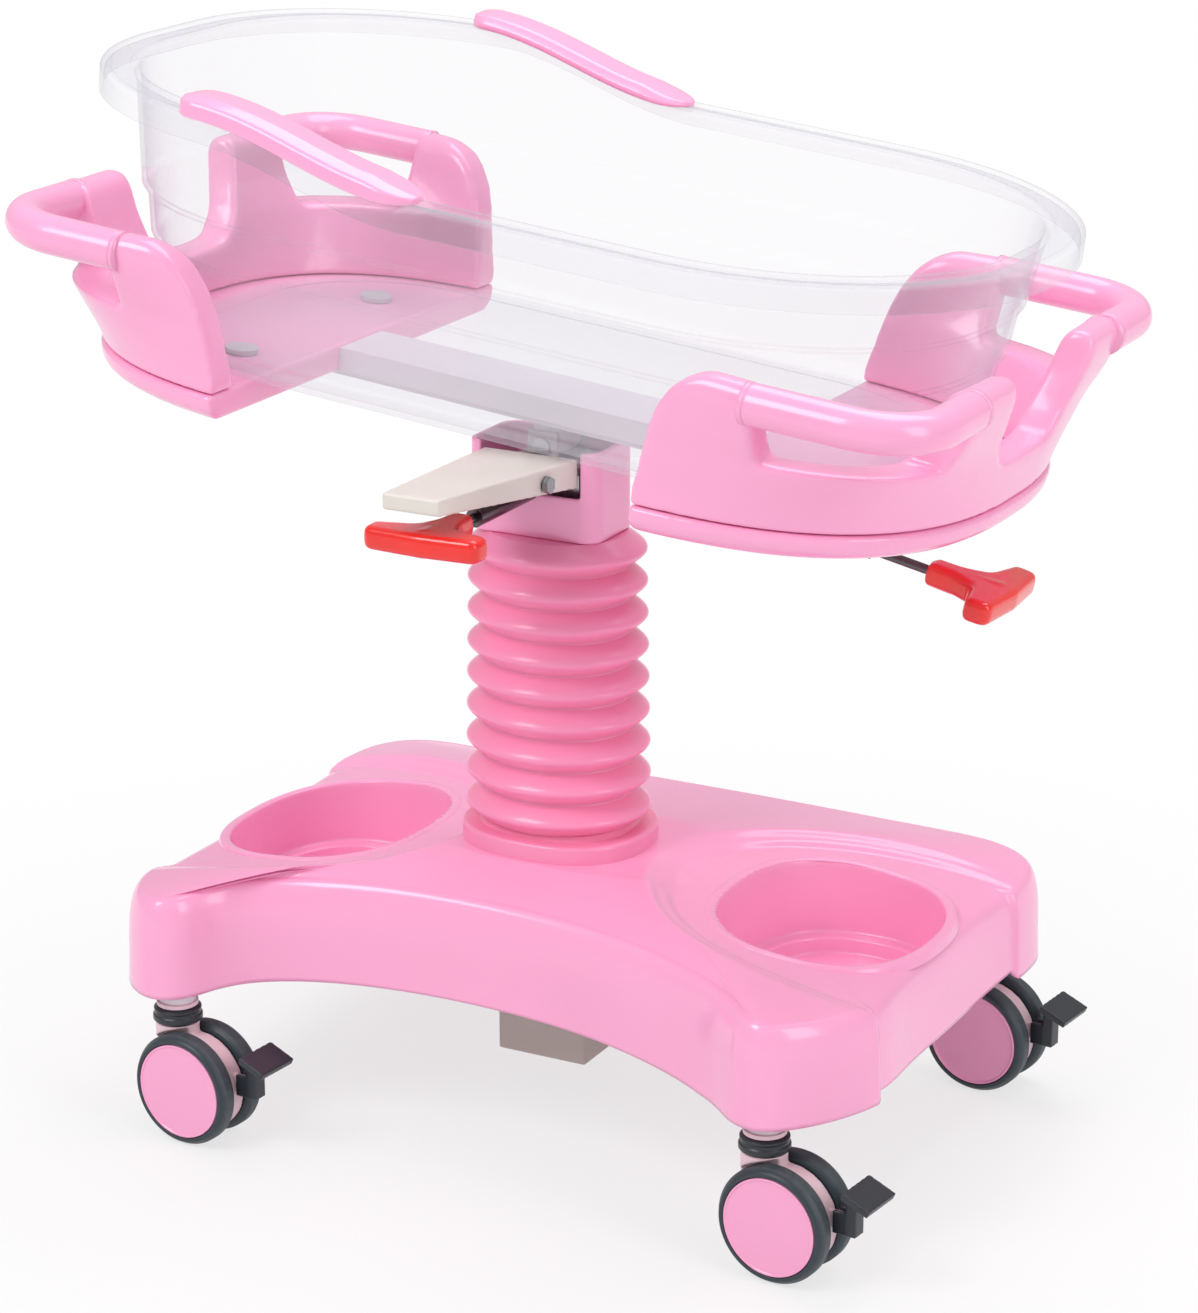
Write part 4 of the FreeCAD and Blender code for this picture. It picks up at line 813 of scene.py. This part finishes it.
# %% Plan of the cradle ends
# Each end starts at a straight inner edge and its posts start a little further out; both are measured on the
# foot end, which the head end mirrors. The head end stands 12 mm nearer the middle and is 28 mm shorter.
CENTRE = 150
INNER_EDGE, POST_START = {"foot": 165, "head": 193}, {"foot": 268, "head": 285}
HEAD_MIRROR = Matrix.Translation((-0.024, 0, 0)) @ Matrix.Scale(-1, 4, (1, 0, 0))
END_PLACES = {"foot": Matrix(), "head": HEAD_MIRROR}
# height, reach, half width, squareness, extra width at the side posts and inset of the wall's outer face
SHELL_PLAN = [(651, 241, 235, 2.5, 0, 0), (665, 242, 236, 2.7, 0, 0), (680, 244, 238, 3.0, 0, 0),
              (709, 248, 242, 3.8, 2, 0), (735, 256, 247, 5.0, 8, 0), (758, 262, 250, 5.6, 12, 0),
              (763, 262.6, 250.4, 5.6, 12.2, 0.8), (768, 263.2, 250.8, 5.6, 12.5, 3.5),
              (771.5, 263.6, 251.2, 5.6, 12.7, 7.3), (773.4, 263.8, 251.6, 5.6, 12.9, 11.6)]


def shell_wall():
    """Annular wall 32 mm deep with a round top, as thick as the handle it carries."""
    rings = []
    for inner, rows in ((False, SHELL_PLAN), (True, SHELL_PLAN[::-1])):
        for z, reach, half_wide, power, extra, taper in rows:
            inset = 32 - taper if inner else taper
            plan = oval(CENTRE, reach - inset, half_wide - inset, power, 220)
            plan[:, 1] *= 1 + extra / half_wide * np.exp(-((plan[:, 0] - 290) / 60) ** 2)
            rings.append(at_height(plan, z))
    return skin(rings, closed=True)


print("a wall is outlined at", len(SHELL_PLAN), "heights")

# %% Carving a cradle end
def side_prism(outline, half_wide=420):
    """Solid along Y with an (x, z) outline."""
    return skin([np.array([(x, y, z) for x, z in outline]) for y in (-half_wide, half_wide)], caps=(True, True))


def end_prism(outline, low, high):
    """Solid along X with a (y, z) outline."""
    return skin([np.array([(x, y, z) for y, z in outline]) for x in (low, high)], caps=(True, True))


def shell_cutters(end):
    """What is taken off a wall: the side slope, the dip at its middle and the finger gaps at its corners."""
    slope = [(INNER_EDGE[end] + x, z) for x, z in
             ((0, 630), (0, 661), (5, 692), (11, 718), (18, 737), (29, 754), (40, 764), (54, 771), (75, 776))]
    slope += [(INNER_EDGE[end] + 75, 900), (-300, 900), (-300, 630)]
    dip = rounded([(-90, 900), (-78, 760), (-74, 740, 10), (-64, 712, 14), (-50, 693, 12), (-30, 690), (30, 690),
                   (50, 693, 12), (64, 712, 14), (74, 740, 10), (78, 760), (90, 900)], 4)
    gaps = [end_prism([(y, 709), (y + 300, 709), (y + 300, 900), (y, 900)], POST_START[end], 700)
            for y in (150, -450)]
    return [side_prism(slope), end_prism(dip, 250, 700)] + gaps


def hand_edges(points):
    """How much to relax a shell at a point: fully near its upper edges, little at its base."""
    return 0.25 + 0.75 * smooth_step((points[:, 2] - 668) / 18)


def make_tray(end):
    """Lower moulding: a shallow D with a rounded belly."""
    belly = rounded([(30, 627.5), (12, 627.5, 9), (0, 635, 12), (-2.5, 648.5, 2), (0, 650.4, 1.2), (8, 650.4)], 5)
    rings = [at_height(oval(CENTRE, 241 - inset, 235 - inset, 2.5, 220), z) for inset, z in belly]
    middle = end_prism([(-300, 600), (300, 600), (300, 700), (-300, 700)], -400, INNER_EDGE[end])
    return carve(end + "_tray", skin(rings, caps=(True, True)), [middle])


for end, place in END_PLACES.items():
    wall = carve(end + "_shell_wall", shell_wall(), shell_cutters(end))
    shell = moved(moulded(end + "_shell", wall, 2.0, 34, hand_edges), TILT @ place)
    tray = moved(moulded(end + "_tray", make_tray(end), 2.4, 5), TILT @ place)
    show(end + "_shell_moulding", shell, pink_moulding, "cradle", "cover_pink", end + "_shell")
    show(end + "_tray_moulding", tray, pink_moulding, "cradle", "cover_pink", end + "_tray")

# %% [markdown]
# ## Grab handles
# A handle is one tube swept round the corner, let into the posts at both ends. A fine groove round each end
# shows where tube and post meet.

# %% Handles
HANDLE_RADIUS, HANDLE_SIDE, HANDLE_END, HANDLE_CORNER, HANDLE_Z = 16.5, 248, 398, 54, 757.5
SLEEVE, CLOSE_RINGS = 4.1, 3.0                  # how far the groove, and the closer rings for it, are from an end


def handle_line(end):
    """Points and directions along a handle, from inside the side post round to inside the end post."""
    start, corner = POST_START[end] - 9, HANDLE_CORNER
    straight = [(x, -HANDLE_SIDE, 1, 0) for x in np.linspace(start, HANDLE_END - corner, 14)]
    bend = [(HANDLE_END - corner + corner * math.sin(a), corner - HANDLE_SIDE - corner * math.cos(a),
             math.cos(a), math.sin(a)) for a in np.linspace(0, math.pi / 2, 22)[1:]]
    reach = [(HANDLE_END, y, 0, 1) for y in np.linspace(corner - HANDLE_SIDE, -138, 14)[1:]]
    return np.array(straight + bend + reach)


def make_handle(end):
    line, turn = handle_line(end), 2 * np.pi * np.arange(56) / 56
    along = np.append(0, np.cumsum(np.hypot(*np.diff(line[:, :2], axis=0).T)))
    whole = along[-1]
    marks = np.sort(np.concatenate([along] + [[e + s * o for o in (0, 0.5, 1.1, 1.7, 2.2)]
                                              for e, s in ((CLOSE_RINGS, 1), (whole - CLOSE_RINGS, -1))]))
    rings = []
    for at in marks:
        x, y, dx, dy = (np.interp(at, along, line[:, k]) for k in range(4))
        size = math.hypot(dx, dy)
        dx, dy = dx / size, dy / size
        near = min(abs(at - SLEEVE), abs(whole - SLEEVE - at))
        r = HANDLE_RADIUS - 0.9 * max(0.0, 1 - near) + (0.35 if min(at, whole - at) < SLEEVE else 0)
        rings.append(np.column_stack([x - dy * r * np.cos(turn), y + dx * r * np.cos(turn),
                                      HANDLE_Z + r * np.sin(turn)]))
    return skin(rings, caps=(True, True))


for end, place in END_PLACES.items():
    handle = raw_mesh(end + "_handle", *make_handle(end))
    for side, flip in (("front", Matrix()), ("back", Matrix.Scale(-1, 4, (0, 1, 0)))):
        show("%s_%s_handle_tube" % (end, side), moved(handle, TILT @ place @ flip), pink_moulding, "cradle",
             "cover_pink", "%s_%s_handle" % (end, side))

# %% [markdown]
# ## Tub
# The tub is thermoformed or moulded clear acrylic, 3 to 4 mm thick. Its section is one closed line: up the
# outside past two ledges, round the turned-down rim and down the inside to the floor. Every ring of the skin is
# the same plan, inset by that line's first number. The rim stands higher round the head, so heights near it are
# shifted along a smooth slope, and everything below the upper ledge stays level.

# %% Plan of the tub and slope of its rim
def tub_plan():
    """Points of the rim's outer edge and the outward normal at each."""
    points, normals = [], []
    corners = [(159, 17, 240, 0), (-208, 37, 220, 90), (-208, -37, 220, 180), (159, -17, 240, 270)]
    for k, (x, y, radius, start) in enumerate(corners):
        angle = np.radians(start + np.linspace(0, 90, 60))
        normal = np.stack([np.cos(angle), np.sin(angle)], axis=1)
        arc = np.array((x, y)) + radius * normal
        nx, ny, nr, following = corners[(k + 1) % 4]
        end = np.array((nx, ny)) + nr * normal[-1]
        parts = (36, 8, 36, 6)[k]
        share = (np.arange(1, parts) / parts)[:, None]
        points += [arc, arc[-1] + (end - arc[-1]) * share]
        normals += [normal, np.repeat(normal[-1:], parts - 1, axis=0)]
    return np.concatenate(points), np.concatenate(normals)


RIM_HEAD, RIM_DROP = 884, 35                    # the rim's height at the head, and its fall towards the foot


def rim_height(x):
    """Height of the rim: level at both ends, with a smooth slope between."""
    share = np.clip((x + 245) / 203, 0, 1)
    return RIM_HEAD - RIM_DROP * (1 - np.cos(np.pi * share)) / 2


print("rim heights at head and foot:", rim_height(-400), rim_height(400))

# %% Tub
def make_tub():
    """The tub's section carried round its plan, from the outer face of the floor to the inner."""
    section = rounded([(115, 655.2), (70, 655.2, 5), (64, 669, 7), (54, 741, 4), (49, 745, 4), (44, 783, 4),
                       (39, 787, 4), (29.5, 879.5, 5), (3.4, 880.4, 4), (3.2, 862.2, 1), (0, 862.2, 1),
                       (0, RIM_HEAD, 6.5), (8, 884.2, 1.5), (9.5, 882.4, 1.5), (24, 882.4, 1.5),
                       (25.5, RIM_HEAD, 1.5), (33, RIM_HEAD, 5), (42.4, 789.5, 4), (47.4, 785.5, 4),
                       (52.4, 747.5, 4), (57.4, 743.5, 4), (67.4, 671, 8), (74, 658.6, 7), (98, 658.6, 2),
                       (101, 661, 2), (115, 661)], 4)
    plan, normal = tub_plan()
    rings = []
    for inset, z in section:
        ring = plan - normal * inset
        lift = np.clip((z - 790) / 70, 0, 1)
        rings.append(at_height(ring, z + (rim_height(plan[:, 0]) - RIM_HEAD) * lift))
    return skin(rings, caps=(True, True))


show("tub_acrylic", raw_mesh("tub", *make_tub(), place=TILT), clear_acrylic, "tub", "tub_clear", "tub")

# %% [markdown]
# ## Armrest pads
# Two pads are clipped over the sloping part of the rim. Their section is a nearly flat cap that reaches a little
# way down the rim's outer side. It ends round at the top of the slope and in a thin tongue at the bottom.

# %% Armrests
PAD_HEAD, PAD_FOOT, PAD_Y = -257, -38, -236     # where a pad starts and ends, and the line it is drawn about


def make_armrest():
    """A pad with a nearly flat top: round at the upper end, drawn out to a thin tongue at the lower end."""
    section = rounded([(-25, 0.2), (-25.5, 5, 2), (-21, 12, 7), (8, 13, 14), (21, 9, 6), (22, -3.5, 2),
                       (20, -4, 1), (20, 0.4, 1), (-25, 0.2)], 6)[:-1]
    rings = []
    for u in np.linspace(0, 1, 90):
        x = PAD_HEAD + (PAD_FOOT - PAD_HEAD) * (1 - math.cos(math.pi * u)) / 2
        upper = math.sqrt(max(0.0, 1 - max(0.0, (PAD_HEAD + 20 - x) / 20) ** 2))
        lower = math.sqrt(max(0.0, 1 - max(0.0, (x - PAD_FOOT + 30) / 30) ** 2))
        wide = 0.03 + 0.97 * upper * lower
        thick = (0.25 + 0.75 * math.sqrt(wide)) * (0.45 + 0.55 * min(1.0, (PAD_FOOT - x) / 40))
        y = PAD_Y + section[:, 0] * -wide
        rings.append(np.column_stack([np.full(len(y), x), y, rim_height(x) + 0.4 + section[:, 1] * thick]))
    return skin(rings, caps=(True, True))


armrest = raw_mesh("armrest", *make_armrest())
show("armrest_front_pad", moved(armrest, TILT), pink_moulding, "tub", "cover_pink", "armrest_front")
show("armrest_back_pad", moved(armrest, TILT @ Matrix.Scale(-1, 4, (0, 1, 0))), pink_moulding, "tub", "cover_pink",
     "armrest_back")

# %% [markdown]
# ## Casters
# Wheels, discs and rings are turned parts, so each is one profile spun about its axis. One caster is built about
# its stem and then placed at the four corners. The fork housing and the brake pedal come from their CAD solids.
# The pedal's ribs follow a rule too, and Geometry Nodes lays them out in a row.

# %% Turned parts
AXLE = (21, 0, 50)                              # the middle of the wheels, seen from the foot of the stem


def turned(profile, axis, count=112):
    """A profile of (radius, height) spun about an axis: "Z" upright, or "Y" across for a wheel."""
    angle = 2 * np.pi * np.arange(count) / count
    rings = []
    for radius, height in profile:
        a, b, c = radius * np.cos(angle), radius * np.sin(angle), np.full(count, height)
        rings.append(np.column_stack([a, b, c] if axis == "Z" else [a, c, b]))
    return skin(rings, closed=abs(profile[0][0]) > 0.01)


def both_sides(points, faces):
    """A wheel part and its mirror image, moved to the axle."""
    right = raw_mesh("right", points + AXLE, faces)
    left = raw_mesh("left", points * (1, -1, 1) + AXLE, faces)
    return joined("pair", [right, left])


print("a turned profile of 3 points makes", len(turned([(4, 0), (5, 1), (4, 2)], "Z")[1]), "faces")

# %% Pedal ribs
def rib_nodes():
    """Node group that lays a number of ribs side by side along X."""
    group = bpy.data.node_groups.new("rib_row", "GeometryNodeTree")
    for name, kind, value in (("Ribs", "NodeSocketInt", 8), ("Pitch", "NodeSocketFloat", 0.0028),
                              ("Length", "NodeSocketFloat", 0.039), ("Width", "NodeSocketFloat", 0.0008)):
        group.interface.new_socket(name=name, in_out="INPUT", socket_type=kind).default_value = value
    group.interface.new_socket(name="Material", in_out="INPUT", socket_type="NodeSocketMaterial")
    group.interface.new_socket(name="Geometry", in_out="OUTPUT", socket_type="NodeSocketGeometry")
    link, given = group.links.new, group.nodes.new("NodeGroupInput").outputs
    row = group.nodes.new("GeometryNodeMeshLine")
    step = group.nodes.new("ShaderNodeCombineXYZ")
    link(given["Pitch"], step.inputs["X"])
    link(given["Ribs"], row.inputs["Count"])
    link(step.outputs[0], row.inputs["Offset"])
    spine = group.nodes.new("GeometryNodeCurvePrimitiveLine")
    for socket, sign in (("Start", -0.5), ("End", 0.5)):
        half = group.nodes.new("ShaderNodeMath")
        half.operation = "MULTIPLY"
        half.inputs[1].default_value = sign
        spot = group.nodes.new("ShaderNodeCombineXYZ")
        link(given["Length"], half.inputs[0])
        link(half.outputs[0], spot.inputs["Y"])
        link(spot.outputs[0], spine.inputs[socket])
    round_bar = group.nodes.new("GeometryNodeCurvePrimitiveCircle")
    round_bar.inputs["Resolution"].default_value = 10
    link(given["Width"], round_bar.inputs["Radius"])
    rib = group.nodes.new("GeometryNodeCurveToMesh")
    rib.inputs["Fill Caps"].default_value = True
    link(spine.outputs[0], rib.inputs["Curve"])
    link(round_bar.outputs[0], rib.inputs["Profile Curve"])
    laid = group.nodes.new("GeometryNodeInstanceOnPoints")
    link(row.outputs[0], laid.inputs["Points"])
    link(rib.outputs[0], laid.inputs["Instance"])
    real = group.nodes.new("GeometryNodeRealizeInstances")
    link(laid.outputs[0], real.inputs[0])
    dressed = group.nodes.new("GeometryNodeSetMaterial")
    link(real.outputs[0], dressed.inputs["Geometry"])
    link(given["Material"], dressed.inputs["Material"])
    link(dressed.outputs[0], group.nodes.new("NodeGroupOutput").inputs[0])
    return group


ribs = grown("ribs", rib_nodes(), Ribs=8, Material=dark_plastic)
print("faces in a pedal's ribs:", len(ribs.polygons))

# %% Wheels and rings
def make_tyres():
    """Two tyres with the attribute that their finish reads."""
    profile = rounded([(34, 9.2), (44, 9.2, 1), (46.5, 10.2, 1.5), (50, 13.6, 2.5), (50, 22.6, 2.5),
                       (47.6, 26.6, 1.5), (46, 28.3, 1.2), (43.2, 28.3, 0.5), (42.6, 27.4, 0.3), (42.6, 24),
                       (34, 24)], 4)
    mesh = both_sides(*turned(profile, "Y"))
    tread = mesh.attributes.new("tread", "FLOAT", "POINT")
    place = np.empty(len(mesh.vertices) * 3)
    mesh.vertices.foreach_get("co", place)
    x, _, z = (place.reshape(-1, 3) / MM - AXLE).T
    tread.data.foreach_set("value", smooth_step((np.hypot(x, z) - 47.8) / 2))
    return mesh


def make_discs():
    """Two discs that fill the wheels, each with a low ridge near its edge."""
    profile = rounded([(0, 28.0), (30, 28.0), (39.6, 27.7, 1), (40.6, 28.7, 0.6), (42.1, 28.7, 0.8),
                       (42.3, 24.2, 0.3), (34, 24.2), (34, 8.4), (5.06, 8.4), (0, 8.4)], 4)
    return both_sides(*turned(profile, "Y"))


def make_ring():
    """Dark ring on top of the housing, with a waist in its side."""
    profile = rounded([(6.06, 103.6), (19.6, 103.6, 0.4), (20.4, 104.6, 0.8), (21.5, 105.4, 0.6),
                       (21.5, 109.6, 1), (20.2, 110.8, 0.8), (19.8, 113, 1), (20.6, 114.6, 0.8),
                       (20.6, 116, 0.8), (18, 118, 1), (6.06, 118)], 4)
    return raw_mesh("ring", *turned(profile, "Z", 80))


tyres, discs, ring = make_tyres(), make_discs(), make_ring()
print("faces in a caster's turned parts:", sum(len(mesh.polygons) for mesh in (tyres, discs, ring)))

# %% Four casters
CORNERS = {"head_front": (-1, -1), "foot_front": (1, -1), "head_back": (-1, 1), "foot_back": (1, 1)}
CASTER_X, CASTER_Y, CASTER_TURN = 0.281, 0.211, math.radians(-6)
PEDAL_PLACE, PEDAL_SLOPE = (0.082, 0, 0.092), math.radians(22)
RIB_START = (0.0032, 0, 0.0002)                 # where the first rib lies on the pedal's plate


def caster_place(corner):
    """Where a caster stands, turned a little about its stem."""
    sx, sy = CORNERS[corner]
    return Matrix.Translation((sx * CASTER_X, sy * CASTER_Y, 0)) @ Matrix.Rotation(CASTER_TURN, 4, "Z")


def from_first_caster(part, voxel):
    """A softened CAD part of the first caster, taken to the middle of the floor."""
    soft = moulded(part, cad_copy("head_front_caster_" + part), voxel, 5)
    return moved(soft, caster_place("head_front").inverted())


rib_place = (Matrix.Translation(PEDAL_PLACE) @ Matrix.Rotation(PEDAL_SLOPE, 4, "Y")
             @ Matrix.Translation(RIB_START))
pedal = joined("pedal", [from_first_caster("pedal", 0.8), moved(ribs, rib_place)])
caster_parts = [("tyres", "wheel", tyre_rubber, "tyre_slate", tyres),
                ("discs", "wheel", pink_moulding, "cover_pink", discs),
                ("ring", "swivel", dark_plastic, "ring_dark", ring),
                ("housing", "swivel", caster_pale, "housing_pink", from_first_caster("housing", 1.0)),
                ("pedal", "brake", dark_plastic, "pedal_dark", pedal)]
for corner in CORNERS:
    for part, body, finish, slot_name, mesh in caster_parts:
        show("%s_%s_piece" % (corner, part), moved(mesh, caster_place(corner)), finish,
             "%s_caster_%s" % (corner, body), slot_name, "%s_caster_%s" % (corner, part))

# %% [markdown]
# ## Parts that come straight from CAD
# Tubes, rods, brackets and pins are cut and drilled metal, so their CAD solids already have the right form. They
# only need a finish.

# %% Metal parts
dressed = {"base_frame": white_paint, "caster_stems": caster_pale, "column_outer_tube": frame_paint,
           "column_glide": glide_white, "gas_spring_cylinder": spring_paint, "gas_spring_rod": steel_upright,
           "column_inner_tube": steel_upright, "tilt_yoke": bracket_paint, "front_release_guide": rod_front,
           "lever_bolt": steel_bolt, "front_release_rod": rod_front, "foot_release_rod": rod_foot,
           "foot_release_guide": rod_foot, "cradle_frame": white_paint, "tilt_pin": steel_across,
           "tub_rests": rest_rubber}
dressed.update({corner + "_caster_axle": steel_across for corner in CORNERS})
for name, finish in dressed.items():
    materials = cad[name].data.materials
    materials.clear()
    materials.append(finish)
print("CAD parts with a finish:", len(dressed))

# %% [markdown]
# ## Camera, light and floor
# The set is a white sweep. The camera is a long lens from the front foot corner, a little above. One large soft
# light comes from the front left, a weaker one from the right and one from above and behind for the tub's rim.
# World and floor give the eye plain white, and light the object at a lower level.

# %% Camera and light
def aimed(name, data, place, target):
    """An object that looks from its place to a target."""
    obj = bpy.data.objects.new(name, data)
    obj.location = place
    obj.rotation_euler = (Vector(target) - Vector(place)).to_track_quat("-Z", "Y").to_euler()
    bpy.context.scene.collection.objects.link(obj)
    return obj


def camera_at(place, target, lens):
    data = bpy.data.cameras.new("camera")
    data.lens, data.sensor_width, data.clip_end = lens, 36, 40
    bpy.context.scene.camera = aimed("camera", data, place, target)


def area_light(name, place, target, size, watts):
    data = bpy.data.lights.new(name, "AREA")
    data.shape, data.size, data.size_y, data.energy = "RECTANGLE", size[0], size[1], watts
    aimed(name, data, place, target)


camera_at(place=(1.49832, -2.81040, 1.45697), target=(0.01542, 0.00813, 0.41478), lens=107.48)
area_light("key", (-1.2, -2.4, 2.9), (0, 0, 0.45), (1.6, 1.6), 56)
area_light("fill", (3.0, -0.8, 1.7), (0, 0, 0.4), (1.2, 2.2), 27)
area_light("top", (0.2, 0.9, 3.0), (0, 0, 0.4), (2.2, 1.6), 35)
print("the camera is", round(bpy.context.scene.camera.location.length, 2), "m from the middle of the floor")

# %% Backdrop
world = bpy.data.worlds.new("sweep")
world.use_nodes = True
sky = world.node_tree
back = sky.nodes["Background"]
path = sky.nodes.new("ShaderNodeLightPath")
level = sky.nodes.new("ShaderNodeMapRange")
level.inputs["To Min"].default_value, level.inputs["To Max"].default_value = 0.55, 1.0
looked_through = sky.nodes.new("ShaderNodeMath")
looked_through.operation = "MAXIMUM"
sky.links.new(path.outputs["Is Camera Ray"], looked_through.inputs[0])
sky.links.new(path.outputs["Is Transmission Ray"], looked_through.inputs[1])
sky.links.new(looked_through.outputs[0], level.inputs["Value"])
sky.links.new(level.outputs["Result"], back.inputs["Strength"])
back.inputs["Color"].default_value = (1, 1, 1, 1)
bpy.context.scene.world = world
bpy.context.scene.view_settings.view_transform = "Standard"
print("nodes in the backdrop:", len(sky.nodes))

# %% Floor
def floor_finish():
    """White floor: it takes a soft shadow near the object, and to the eye it is plain white further out."""
    finish = Finish("floor_white", Base_Color=(0.86, 0.86, 0.865, 1), Roughness=0.6, Specular_IOR_Level=0.2)
    where = finish.node("ShaderNodeTexCoord", output=3)
    far = finish.node("ShaderNodeVectorMath", {"operation": "LENGTH"}, (where,), output=1)
    outer = ((far - 0.4) * 1.5).held()
    rays = finish.tree.nodes.new("ShaderNodeLightPath").outputs
    seen = (Value(finish, rays["Is Camera Ray"]) + Value(finish, rays["Is Glossy Ray"])
            + Value(finish, rays["Is Transmission Ray"])).held()
    white = finish.node("ShaderNodeEmission", Color=(1, 1, 1, 1), Strength=1.0)
    matt = Value(finish, finish.shader.outputs[0])
    mixed = finish.node("ShaderNodeMixShader", None, (seen * (0.7 + outer * 0.3), matt, white))
    finish.join(mixed, finish.tree.nodes["Material Output"].inputs["Surface"])
    return finish.material


floor_mesh = bpy.data.meshes.new("floor")
floor_mesh.from_pydata([(-9, -9, 0), (9, -9, 0), (9, 9, 0), (-9, 9, 0)], [], [(0, 1, 2, 3)])
floor_mesh.materials.append(floor_finish())
floor = bpy.data.objects.new("floor", floor_mesh)
bpy.context.scene.collection.objects.link(floor)
